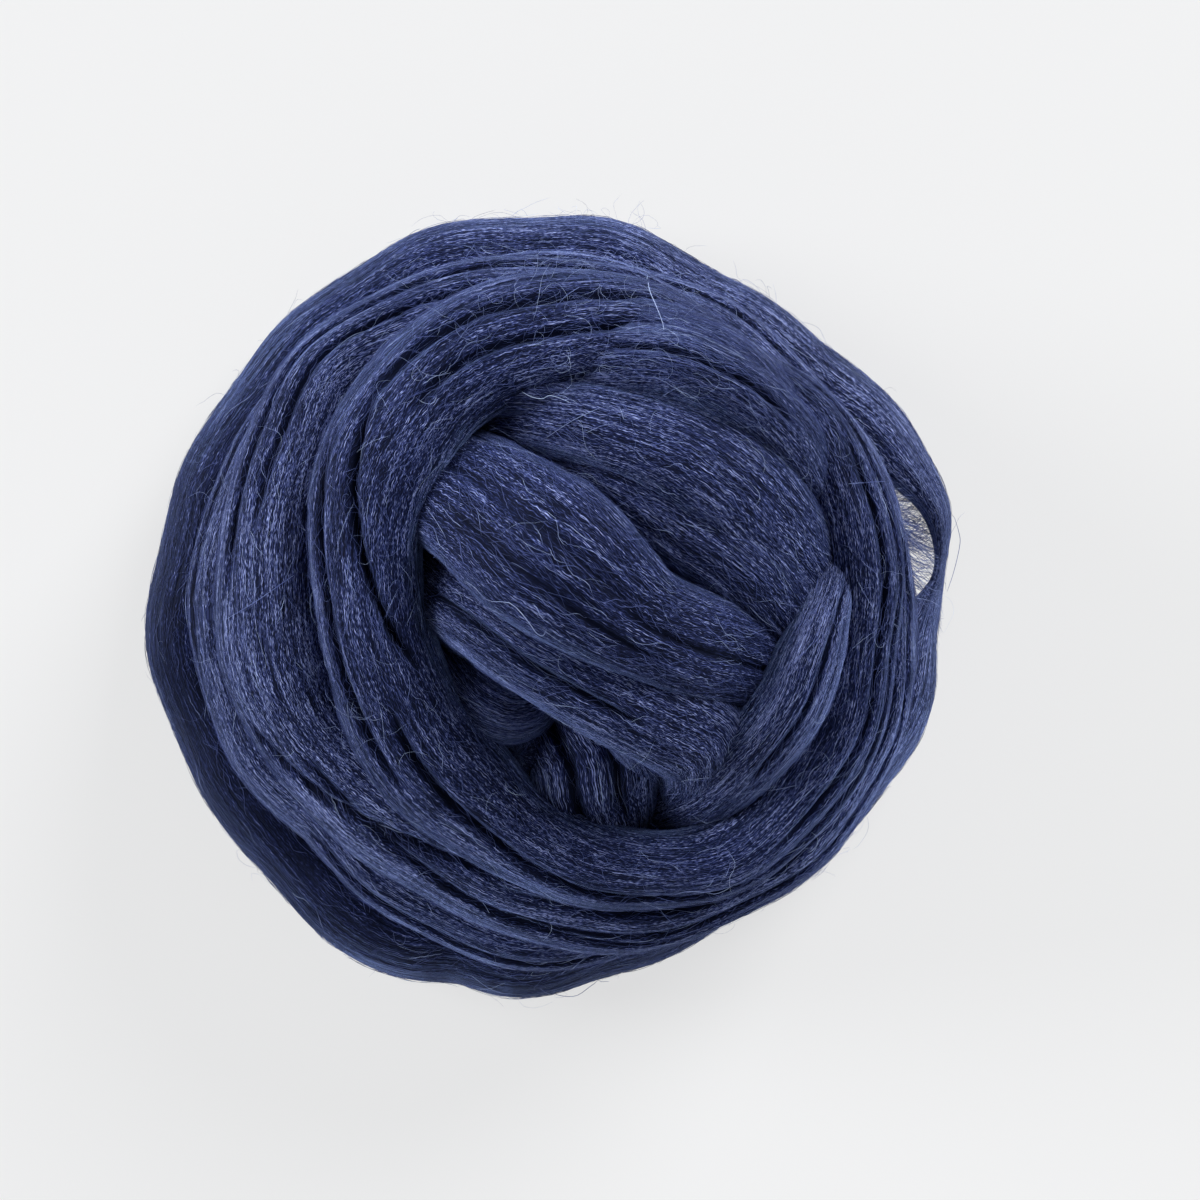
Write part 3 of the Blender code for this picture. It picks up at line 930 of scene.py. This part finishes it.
def wool_material():
    """Dark blue combed wool: fibres along the strand, crimp, painted shade and sheen."""
    material, tree, shader = new_material("combed_wool", WOOL_FINISH)
    fibre = add_node(tree, "ShaderNodeAttribute", {"attribute_name": "fibre"}, output=1)
    # dip: the painted shade of each point
    dip = add_node(tree, "ShaderNodeAttribute", {"attribute_name": "dip"}, output=2)
    along = add_node(tree, "ShaderNodeSeparateXYZ", sockets={0: fibre})
    wander = noise(tree, fibre, DRIFT_SPOTS, 1.0)
    crimp = add_node(tree, "ShaderNodeMath", {"operation": "SINE"},
                     {0: along * (2 * math.pi / CRIMP_LENGTH) + wander * CRIMP_DRIFT})
    across = add_node(tree, "ShaderNodeVectorMath", {"operation": "CROSS_PRODUCT"},
                      {0: (1.0 / FIBRE_RADIUS, 0.0, 0.0), 1: fibre})
    shift = add_node(tree, "ShaderNodeVectorMath", {"operation": "SCALE"},
                     {0: across, "Scale": crimp * CRIMP_SIZE})
    waved = add_node(tree, "ShaderNodeVectorMath", {"operation": "ADD"}, {0: fibre, 1: shift})

    fine = noise(tree, waved, FINE_SPOTS, 0.0)
    grain = noise(tree, waved, GRAIN_SPOTS, 0.0)
    bundle = noise(tree, waved, BUNDLE_SPOTS, 2.0)
    patch = noise(tree, fibre, PATCH_SPOTS, 1.0)
    streaks_mean = NOISE_MEAN * (FINE_WEIGHT + GRAIN_WEIGHT + BUNDLE_WEIGHT + PATCH_WEIGHT)
    streaks = (fine * FINE_WEIGHT + grain * GRAIN_WEIGHT + bundle * BUNDLE_WEIGHT
               + patch * PATCH_WEIGHT - streaks_mean)
    # Painted shade darkens the tone and flattens its contrast.
    tone = streaks * (1.0 - dip * PAINTED_SHADE_FLATTENS) - dip * PAINTED_SHADE_DARKENS + WOOL_TONE
    colour = add_node(tree, "ShaderNodeValToRGB", {"stops": WOOL_STOPS}, {0: tone})
    tree.links.new(colour.socket, shader.inputs["Base Color"])
    relief = fine * FINE_BUMP + bundle * BUNDLE_BUMP
    bump = add_node(tree, "ShaderNodeBump", sockets={
        "Strength": 1.0, "Distance": BUMP_DEPTH * MM, "Height": relief})
    tree.links.new(bump.socket, shader.inputs["Normal"])
    rough = WOOL_ROUGHNESS - fine * FINE_GLOSS
    tree.links.new(rough.socket, shader.inputs["Roughness"])
    return material


wool = wool_material()
print("wool material:", len(wool.node_tree.nodes), "nodes")

# %% Make the strands
SKIN_SEED = 100

skins = []
pieces = []
for number, strand in enumerate(STRANDS):
    skin, pattern = strand_skin(strand, np.random.default_rng(SKIN_SEED + number))
    piece = weld_skin(skin, pattern, wool)
    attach(piece, "root")
    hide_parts("roving_nest")
    skins.append(skin)
    pieces.append(piece)
    print(skin.name, len(piece.data.polygons), "faces")

# %% [markdown]
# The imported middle
#
# The strands don't fill the ball. Behind them lies more of the same wool, which shows only
# as darkness in the deepest hollows. Two eggs of the sizes of the solid's packed middle
# stand for it, with shallow ridges that run round them as the hidden turns do. A small
# third one closes the deep gap beside the rounded lock.

# %% Packed middle
EGGS = (                     # name, radii, centre
    ("packed_foot", (60.0, 59.0, 42.0), (0.0, 0.0, 14.0)),
    ("packed_top", (54.0, 52.0, 46.0), (-2.0, 8.0, 18.0)),
    ("packed_gap", (11.0, 9.0, 9.0), (-6.0, -28.0, 53.0)),
)
EGG_SEGMENTS = (64, 72)      # round it, and from pole to pole
EGG_RIDGE = 0.8
EGG_PITCH = 2.4              # mm of height for each ridge
EGG_WAVES = 3                # waves of each ridge on its way round
EGG_SWAY = 0.8               # and how far they reach, in radians of the ridges' own wave
EGG_PAINTED_SHADE = 0.2                # its painted shade, as on a strand


def packed_egg(name, radii, centre, material):
    """Wool that the turns are wound over."""
    form = bmesh.new()
    fibre_layer = form.verts.layers.float_vector.new("fibre")
    painted_shade_layer = form.verts.layers.float.new("dip")
    bmesh.ops.create_uvsphere(form, u_segments=EGG_SEGMENTS[0], v_segments=EGG_SEGMENTS[1],
                              radius=1.0)
    for vertex in form.verts:
        ball = np.array(vertex.co)
        bearing = math.atan2(ball[1], ball[0])
        place = np.array(centre) + np.array(radii) * ball
        sway = EGG_SWAY * math.sin(EGG_WAVES * bearing)
        wave = math.sin(math.pi * place[2] / EGG_PITCH + sway)
        place = place + ball * EGG_RIDGE * (abs(wave) - SINE_MEAN)
        vertex[fibre_layer] = (abs(bearing) * radii[0], math.hypot(*place[:2]), place[2])
        vertex[painted_shade_layer] = EGG_PAINTED_SHADE
        vertex.co = Vector((place[0], place[1], max(place[2], 0.0))) * MM
    bmesh.ops.remove_doubles(form, verts=form.verts, dist=WELD_REACH * MM)
    return form_piece(form, name, material)


for name, radii, centre in EGGS:
    egg = packed_egg(name, radii, centre, wool)
    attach(egg, "root")
    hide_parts("roving_nest")
    pieces.append(egg)
    print(name, len(egg.data.polygons), "faces")

# %% [markdown]
# Hairs as a mesh
#
# A single fibre is too thin for a texture at the edge of the nest, and it has to stand away
# from the surface, so the fibres that lie on top are real. Thousands of them are needed,
# and each must stay light. So a hair is a three-sided tube that closes to a point at both
# ends, and all the hairs of a strand are one mesh, made straight from arrays of points.

# %% Hair mesh
HAIR_SIDES = 3
HAIR_FULLNESS = 0.35         # less keeps a hair thick until nearer to its ends


def hair_points(lines, radii, random):
    """The points of each hair: its two tips, and rings of three round its centre line."""
    count, stations = lines.shape[:2]
    ahead = unit(np.gradient(lines, axis=1))
    lean = random.normal(size=(count, 1, 3))
    first = unit(np.cross(ahead, lean))
    second = np.cross(ahead, first)
    turn = 2 * np.pi * np.arange(HAIR_SIDES) / HAIR_SIDES
    shape = np.sin(np.pi * np.arange(1, stations - 1) / (stations - 1)) ** HAIR_FULLNESS
    reach = radii[:, None] * shape[None, :]
    circle = (first[:, 1:-1, None] * np.cos(turn)[:, None]
              + second[:, 1:-1, None] * np.sin(turn)[:, None])
    tube = lines[:, 1:-1, None] + circle * reach[:, :, None, None]
    return np.concatenate((lines[:, :1], tube.reshape(count, -1, 3), lines[:, -1:]), axis=1)


def hair_faces(rings, per_hair):
    """One hair's faces, as the numbers of their corners and how many corners each has."""
    ring = 1 + HAIR_SIDES * np.arange(rings - 1)[:, None]
    here = np.arange(HAIR_SIDES)
    after = (here + 1) % HAIR_SIDES
    quads = np.stack((ring + here, ring + after, ring + HAIR_SIDES + after,
                      ring + HAIR_SIDES + here), axis=-1).reshape(-1, 4)
    start = np.stack((np.zeros(HAIR_SIDES, int), 1 + after, 1 + here), axis=-1)
    last = 1 + HAIR_SIDES * (rings - 1)
    end = np.stack((np.full(HAIR_SIDES, per_hair - 1), last + here, last + after), axis=-1)
    corners = np.concatenate((quads.ravel(), start.ravel(), end.ravel()))
    sizes = np.concatenate((np.full(len(quads), 4), np.full(2 * HAIR_SIDES, 3)))
    return corners, sizes


def hair_mesh(name, lines, radii, tones, material, random):
    """One mesh of many hairs. lines: hairs × stations × 3 in mm; radii and tones: one each."""
    count, stations = lines.shape[:2]
    points = hair_points(lines, radii, random)
    per_hair = points.shape[1]
    corners, sizes = hair_faces(stations - 2, per_hair)
    corners = (corners[None, :] + per_hair * np.arange(count)[:, None]).ravel()
    sizes = np.tile(sizes, count)
    starts = np.cumsum(sizes) - sizes

    mesh = bpy.data.meshes.new(name)
    mesh.vertices.add(count * per_hair)
    mesh.loops.add(len(corners))
    mesh.polygons.add(len(starts))
    mesh.vertices.foreach_set("co", (points * MM).ravel())
    mesh.loops.foreach_set("vertex_index", corners)
    mesh.polygons.foreach_set("loop_start", starts)
    mesh.update(calc_edges=True)
    tone = mesh.attributes.new("tone", "FLOAT", "POINT")
    tone.data.foreach_set("value", np.repeat(tones, per_hair))
    mesh.shade_smooth()
    piece = show_mesh(name, mesh, material)
    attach(piece, "root")
    return piece


# %% [markdown]
# The hairs' finish
#
# Most fibres are the blue of the strand, some are darker and a few nearly white. The near-white
# top of the ramp is a painted highlight, for a fibre that lies so that it mirrors the window.
# One number for each hair, its tone, picks the colour from a ramp.

# %% Hair material
# The near-white last stop is a painted highlight; tones above 0.8 blend towards it.
HAIR_STOPS = (
    (0.0, (0.008, 0.011, 0.040, 1.0)),
    (0.5, (0.040, 0.055, 0.180, 1.0)),
    (0.8, (0.110, 0.145, 0.380, 1.0)),
    (1.0, (0.600, 0.730, 1.000, 1.0)),
)
HAIR_FINISH = {
    "Roughness": 0.45,
    "Specular IOR Level": 0.2,
    "Sheen Weight": 0.3,
    "Sheen Tint": SHEEN_TINT,
}
MOTTLE_SPOTS = (400.0, 400.0, 400.0)   # in a metre
MOTTLE = 0.3                 # how much the tone varies along a hair


def hair_material():
    """Single wool fibres, from nearly black blue to pale."""
    material, tree, shader = new_material("wool_fibre", HAIR_FINISH)
    tone = add_node(tree, "ShaderNodeAttribute", {"attribute_name": "tone"}, output=2)
    place = add_node(tree, "ShaderNodeTexCoord", output=3)
    mottle = noise(tree, place, MOTTLE_SPOTS, 1.0)
    tone = tone + mottle * MOTTLE - MOTTLE * NOISE_MEAN
    colour = add_node(tree, "ShaderNodeValToRGB", {"stops": HAIR_STOPS}, {0: tone})
    tree.links.new(colour.socket, shader.inputs["Base Color"])
    return material


fibre_finish = hair_material()
print("hair material:", len(fibre_finish.node_tree.nodes), "nodes")

# %% [markdown]
# Which fibres show
#
# The strands run through each other, as soft wool pressed together does, so part of every
# skin is buried. A fibre there would be wasted. A ray from the skin outwards tells: if the
# first face that it meets is seen from behind, the place is inside another strand.

# %% Buried places
def join_forms(objects):
    """All the skins as one search tree."""
    form = bmesh.new()
    for item in objects:
        form.from_mesh(item.data)
    found = BVHTree.FromBMesh(form)
    form.free()
    return found


CLEAR_OF_SKIN = 0.3      # mm from the skin at which a ray sets off
search = join_forms(pieces)


def is_buried(place, direction):
    """Whether a place in mm lies inside a strand."""
    start = Vector(place * MM)
    hit, normal, _, _ = search.ray_cast(start, Vector(direction))
    return hit is not None and normal.dot(Vector(direction)) > 0.0


def shown_first(place, outward, count):
    """The numbers of the first so many places that no strand covers."""
    start = place + outward * CLEAR_OF_SKIN
    shown = [index for index in range(len(place)) if not is_buried(start[index], outward[index])]
    return shown[:count]


# %% [markdown]
# Fibres along the strands
#
# Each fibre starts at a random place on the half of its strand that faces outwards, follows
# the strand, and drifts a little sideways so that fibres cross at small angles. It sways
# slowly from side to side, with a little quick crimp on top, and its middle lifts off the
# surface by less than half a millimetre.

# %% Places on a skin
END_ROWS = 4                 # rows at a free end from which no hair sets off
ROW_MARGIN = 0.001           # keeps a place just short of the last row


def on_skin(skin, row, column):
    """Places and outward directions at broken numbers of row and column."""
    rows, columns = skin.dip.shape
    row = row % rows if skin.is_ring else np.clip(row, 0.0, rows - 1 - ROW_MARGIN)
    low_row = np.floor(row).astype(int)
    low_column = np.floor(column).astype(int)
    part = (row - low_row)[..., None]
    side_part = (column - low_column)[..., None]
    high_row = (low_row + 1) % rows
    low_column = low_column % columns
    high_column = (low_column + 1) % columns

    def in_row(values, number):
        return (values[number, low_column] * (1 - side_part)
                + values[number, high_column] * side_part)

    def blended(values):
        return in_row(values, low_row) * (1 - part) + in_row(values, high_row) * part

    return blended(skin.places), unit(blended(skin.outward))


def outer_cells(skin):
    """The cells of the skin's outer half and the share of its area that each has."""
    rows, columns = skin.dip.shape
    outer = int(columns * OUTER_SHARE)
    _, after = neighbours(skin.places, skin.is_ring)
    along = np.linalg.norm(after - skin.places, axis=2)
    round_step = np.linalg.norm(np.roll(skin.places, -1, axis=1) - skin.places, axis=2)
    area = (along * round_step)[:, :outer]
    if not skin.is_ring:
        area[:END_ROWS] = 0.0
        area[-END_ROWS:] = 0.0
    return area.ravel() / area.sum(), outer


# %% Lay the fibres
HAIR_SEED = 300
HAIR_STATIONS = 10
HAIR_STEP = (0.4, 1.1)       # mm between two stations
HAIR_RADIUS = (0.025, 0.055)
HAIR_CRIMP = (0.02, 0.12)
CRIMP_CHANGE = (0.3, 1.0)    # share of its crimp that a fibre has at each station
HAIR_SWAY = (0.10, 0.60)
SWAY_WAVES = (0.5, 1.6)      # waves of the sway in one fibre
HAIR_DRIFT = 2.2
HAIR_LIFT = (0.02, 0.50)
LIFT_BIAS = 1.5              # over 1, more of the fibres lie low
LIE_ABOVE = 0.04
LOWEST_HAIR = 0.1            # mm above the table
HAIR_TONE = (0.52, 0.18)     # mean and spread
BRIGHTEST_TONE = 0.85
# A few fibres get a near-white tone, a painted highlight.
PALE_HIGHLIGHT_TONE = 0.88
PALE_HIGHLIGHT_SHARE = 0.04


def lay_hairs(skin, count, random):
    """Centre lines of the fibres on a strand that aren't buried."""
    share, outer = outer_cells(skin)
    cell = random.choice(len(share), size=count * 2, p=share)
    row = cell // outer + random.random(len(cell))
    column = cell % outer + random.random(len(cell))
    shown = shown_first(*on_skin(skin, row, column), count)
    row = row[shown]
    column = column[shown]
    count = len(shown)

    step = random.uniform(*HAIR_STEP, count)
    station = np.arange(HAIR_STATIONS) - (HAIR_STATIONS - 1) / 2
    rows = row[:, None] + station[None, :] * step[:, None] / ROW_STEP
    columns = np.repeat(column[:, None], HAIR_STATIONS, axis=1)
    place, outward = on_skin(skin, rows, columns)
    ahead = unit(np.gradient(place, axis=1))
    across = np.cross(ahead, outward)
    zigzag = np.where(np.arange(HAIR_STATIONS) % 2 == 0, 1.0, -1.0)[None, :]
    crimp = zigzag * random.uniform(*HAIR_CRIMP, (count, 1))
    crimp *= random.uniform(*CRIMP_CHANGE, (count, HAIR_STATIONS))
    part = np.arange(HAIR_STATIONS)[None, :] / (HAIR_STATIONS - 1)
    waves = random.uniform(*SWAY_WAVES, (count, 1)) * part + random.random((count, 1))
    sway = random.uniform(*HAIR_SWAY, (count, 1)) * np.sin(2 * np.pi * waves)
    drift = random.normal(scale=HAIR_DRIFT / 2, size=(count, 1)) * (2 * part - 1)
    most_lift = random.uniform(*HAIR_LIFT, (count, 1)) ** LIFT_BIAS
    lift = LIE_ABOVE + np.sin(np.pi * part) * most_lift
    lines = place + across * (crimp + sway + drift)[..., None] + outward * lift[..., None]
    lines[..., 2] = np.maximum(lines[..., 2], LOWEST_HAIR)
    return lines


hair_count = 0
for number, skin in enumerate(skins):
    random = np.random.default_rng(HAIR_SEED + number)
    lines = lay_hairs(skin, skin.hairs, random)
    radii = random.uniform(*HAIR_RADIUS, len(lines))
    tones = np.clip(random.normal(*HAIR_TONE, len(lines)), 0.0, BRIGHTEST_TONE)
    tones = np.where(random.random(len(lines)) < PALE_HIGHLIGHT_SHARE, PALE_HIGHLIGHT_TONE, tones)
    hair_mesh(skin.name + "_fibres", lines, radii, tones, fibre_finish, random)
    hair_count += len(lines)
print(hair_count, "fibres on the strands")

# %% [markdown]
# Fly-away hairs
#
# Some fibres leave the strand and curl in the air: most come down again as a small loop,
# and the rest end free. Each one sets off from a strand at any angle, and its heading turns
# steadily, with a wobble, so it curls. There are more of them on the crest at the top.

# %% Fly-aways
FLY_SEED = 500
FLY_STATIONS = 13
FLY_STEP = (0.35, 0.95)      # mm between two stations
FLY_RADIUS = (0.015, 0.028)
FLY_TONE = (0.50, 0.98)
FLY_TURN = 0.22              # how fast the heading turns, in radians for each station
FLY_WOBBLE = 0.22
NOT_OUTWARD = (0.3, 0.2, 1.0)    # any direction that no part of a skin faces exactly
LOOP_RISE = (0.3, 1.8)       # mm, where a hair comes down again
FREE_RISE = (1.0, 3.5)       # and where it ends in the air
FREE_BEND = 1.3              # over 1, a free end bends away from the wool
FREE_SHARE = 0.3
LOWEST_FLY_AWAY = 0.2        # mm above the table
CREST_BEARING = 78.0         # where they are densest, and how far that reaches: degrees
CREST_SPREAD = 28.0
CREST_GAIN = 6.0
FLY_AWAYS = {                # strand: fly-aways on it
    "floor_turn": 130, "second_turn": 200, "third_turn": 240, "inner_turn": 560,
    "lip": 40, "side_lock": 30, "top_fan": 60, "middle_fan": 50, "low_fan": 25,
    "broad_strand": 25, "lower_strand": 25, "small_curl": 10, "deep_lock": 15,
}


def fly_lines(skin, count, random):
    """Centre lines of hairs that leave a strand."""
    share, outer = outer_cells(skin)
    places = skin.places[:, :outer].reshape(-1, 3)
    bearing = np.degrees(np.arctan2(places[:, 1], places[:, 0]))
    near_crest = np.exp(-((bearing - CREST_BEARING) / CREST_SPREAD) ** 2)
    share = share * (1.0 + CREST_GAIN * near_crest)
    cell = random.choice(len(share), size=count * 2, p=share / share.sum())
    place, outward = on_skin(skin, cell // outer + 0.5, cell % outer + 0.5)
    shown = shown_first(place, outward, count)
    place = place[shown]
    outward = outward[shown]
    count = len(shown)
    first = unit(np.cross(outward, NOT_OUTWARD))
    second = np.cross(outward, first)
    turn = random.normal(scale=FLY_TURN, size=(count, 1))
    wobble = random.normal(scale=FLY_WOBBLE, size=(count, FLY_STATIONS))
    heading = random.uniform(0.0, 2 * np.pi, (count, 1)) + np.cumsum(turn + wobble, axis=1)
    step = random.uniform(*FLY_STEP, (count, 1))
    forward = np.cumsum(step * np.cos(heading), axis=1)
    aside = np.cumsum(step * np.sin(heading), axis=1)
    part = np.arange(FLY_STATIONS)[None, :] / (FLY_STATIONS - 1)
    loop = np.sin(np.pi * part) * random.uniform(*LOOP_RISE, (count, 1))
    free = part ** FREE_BEND * random.uniform(*FREE_RISE, (count, 1))
    rise = np.where(random.random((count, 1)) < FREE_SHARE, free, loop)
    lines = (place[:, None] + first[:, None] * forward[..., None]
             + second[:, None] * aside[..., None] + outward[:, None] * rise[..., None])
    lines[..., 2] = np.maximum(lines[..., 2], LOWEST_FLY_AWAY)
    return lines


fly_count = 0
for number, skin in enumerate(skins):
    if skin.name in FLY_AWAYS:
        random = np.random.default_rng(FLY_SEED + number)
        lines = fly_lines(skin, FLY_AWAYS[skin.name], random)
        radii = random.uniform(*FLY_RADIUS, len(lines))
        tones = random.uniform(*FLY_TONE, len(lines))
        hair_mesh(skin.name + "_fly_aways", lines, radii, tones, fibre_finish, random)
        fly_count += len(lines)
print(fly_count, "fly-aways")

# %% [markdown]
# The strays that the photo shows
#
# A few single hairs are clear enough in the photo to be placed one by one. Each is a short
# list of points seen from above. A ray dropped at each point finds the wool under it, and
# the hair lies a little above that.

# %% Strays
STRAY_SEED = 700
STRAY_STATIONS = 20
STRAY_RADIUS = 0.07
DROP_HEIGHT = 150.0
OPEN_HEIGHT = 12.0           # where no wool lies under a hair
STRAYS = (                   # height above the wool, tone, points
    (2.0, 1.00, ((19.3, 65.6), (18.7, 62.3), (18.9, 58.9), (20.1, 55.5), (21.2, 52.1),
                 (21.4, 50.3))),
    (0.6, 1.00, ((-4.8, 39.3), (-3.0, 38.3), (-1.0, 37.9), (0.4, 38.5), (2.3, 38.0),
                 (4.4, 37.0))),
    (0.3, 0.90, ((-0.3, 30.6), (4.6, 33.7), (9.7, 36.1))),
    (0.3, 0.85, ((7.3, 31.5), (9.7, 32.6), (12.0, 33.0))),
    (0.3, 0.85, ((19.7, 37.4), (23.4, 39.5), (26.0, 40.0))),
    (0.4, 0.80, ((1.5, 54.9), (3.0, 57.0), (6.0, 59.1))),
    (0.5, 0.90, ((-15.0, 4.5), (-12.9, 3.2), (-10.4, 0.8), (-6.3, 0.3), (-3.4, -2.6),
                 (-1.7, -5.0), (-0.5, -5.5), (0.2, -4.2))),
    (0.8, 0.80, ((-61.7, -2.9), (-54.7, 0.9), (-47.4, 5.7))),
    (0.8, 0.75, ((-42.0, -14.6), (-39.4, -14.0), (-38.6, -17.0), (-41.4, -18.0),
                 (-42.2, -15.2))),
    (0.5, 0.80, ((56.0, 22.6), (60.7, 23.0), (66.3, 23.6))),
    (0.5, 0.85, ((7.7, -68.4), (4.8, -71.0), (3.4, -72.9), (1.9, -74.3))),
    (0.5, 0.80, ((-2.5, -77.4), (-0.1, -79.4), (4.6, -80.0), (8.7, -77.4), (11.7, -77.0))),
    (0.5, 0.75, ((81.6, 19.3), (83.0, 14.8), (83.2, 12.1), (82.0, 6.8), (80.5, 2.3))),
    (0.5, 0.80, ((20.3, -56.9), (22.2, -59.6), (24.7, -61.7))),
    (0.4, 0.80, ((34.0, -4.0), (37.0, -5.4), (40.5, -4.6), (44.0, -5.5))),
)


def curve_through(points, stations):
    """A smooth line through a few points."""
    values = np.array(points, float)
    last = len(values) - 1
    place = np.linspace(0.0, last, stations)
    index = np.minimum(place.astype(int), last - 1)
    share = (place - index)[:, None]
    return curve_values(values[np.maximum(index - 1, 0)], values[index], values[index + 1],
                        values[np.minimum(index + 2, last)], share)


def lay_stray(points, lift):
    """A hair laid on whatever wool is under it."""
    line = np.zeros((STRAY_STATIONS, 3))
    line[:, :2] = curve_through(points, STRAY_STATIONS)
    for spot in line:
        above = Vector((spot[0], spot[1], DROP_HEIGHT)) * MM
        hit, _, _, _ = search.ray_cast(above, Vector((0.0, 0.0, -1.0)))
        spot[2] = OPEN_HEIGHT if hit is None else hit.z / MM
    line[:, 2] += lift
    return line


random = np.random.default_rng(STRAY_SEED)
lines = np.array([lay_stray(points, lift) for lift, _, points in STRAYS])
tones = np.array([tone for _, tone, _ in STRAYS])
hair_mesh("strays", lines, np.full(len(lines), STRAY_RADIUS), tones, fibre_finish, random)
print(len(lines), "strays")

# %% [markdown]
# The veil in the gap
#
# At the right the floor turn bows away from the ball. Single fibres still bridge the gap
# and make a thin veil, with the table showing between them. They run slantwise from the
# second turn down to the bow, and nearly half of them gather in one band.

# %% Veil
VEIL_SEED = 800
VEIL_STATIONS = 12
VEIL_COUNT = 380
VEIL_RADIUS = (0.025, 0.060)
VEIL_TONE = (0.45, 0.90)
VEIL_BAND_SHARE = 0.45       # share of the fibres in the dense band
VEIL_BAND = (14.0, 1.5)      # bearing of the dense band and its spread, in degrees
VEIL_REACH = (1.0, 24.0)     # bearings that the other fibres set off from
VEIL_SLANT = (-3.0, 5.0)     # how far the bearing changes on the way, and its spread
VEIL_START = 67.0            # mm from the nest's middle where they set off
VEIL_SPAN = 13.0             # and how far they reach from there
VEIL_TOP = 26.0
VEIL_DROP = 15.0
VEIL_SAG = 0.8               # under 1, they drop soon and then level out
VEIL_UNEVEN = 1.5            # mm by which their heights differ
VEIL_SWAY = 1.2
VEIL_CURL = 0.012            # waves sideways, in radians round the nest's middle
CURL_WAVES = (0.5, 1.5)      # and how many in a fibre


def veil_lines(random):
    """Centre lines of the fibres that bridge the gap."""
    one_each = (VEIL_COUNT, 1)
    part = np.arange(VEIL_STATIONS)[None, :] / (VEIL_STATIONS - 1)
    spread = random.uniform(*VEIL_REACH, one_each)
    banded = random.normal(*VEIL_BAND, one_each)
    start = np.where(random.random(one_each) < VEIL_BAND_SHARE, banded, spread)
    slant = random.normal(*VEIL_SLANT, one_each)
    sway = VEIL_SWAY * np.sin(np.pi * part) * random.normal(size=one_each)
    curl = VEIL_CURL * np.sin(2 * np.pi * part * random.uniform(*CURL_WAVES, one_each))
    uneven = random.normal(scale=VEIL_UNEVEN, size=one_each)
    bearing = np.radians(start + slant * part) + curl
    radius = VEIL_START + VEIL_SPAN * part + sway
    height = VEIL_TOP - VEIL_DROP * part ** VEIL_SAG + uneven
    return np.stack((radius * np.cos(bearing), radius * np.sin(bearing), height), axis=-1)


random = np.random.default_rng(VEIL_SEED)
lines = veil_lines(random)
radii = random.uniform(*VEIL_RADIUS, VEIL_COUNT)
tones = random.uniform(*VEIL_TONE, VEIL_COUNT)
hair_mesh("veil", lines, radii, tones, fibre_finish, random)
print(VEIL_COUNT, "fibres in the veil")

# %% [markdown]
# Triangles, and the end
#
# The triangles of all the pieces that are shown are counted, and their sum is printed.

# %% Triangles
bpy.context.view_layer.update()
total = sum(len(face.vertices) - 2 for item in bpy.data.objects
            if item.type == "MESH" and not item.hide_render for face in item.data.polygons)
print("triangles shown:", total)
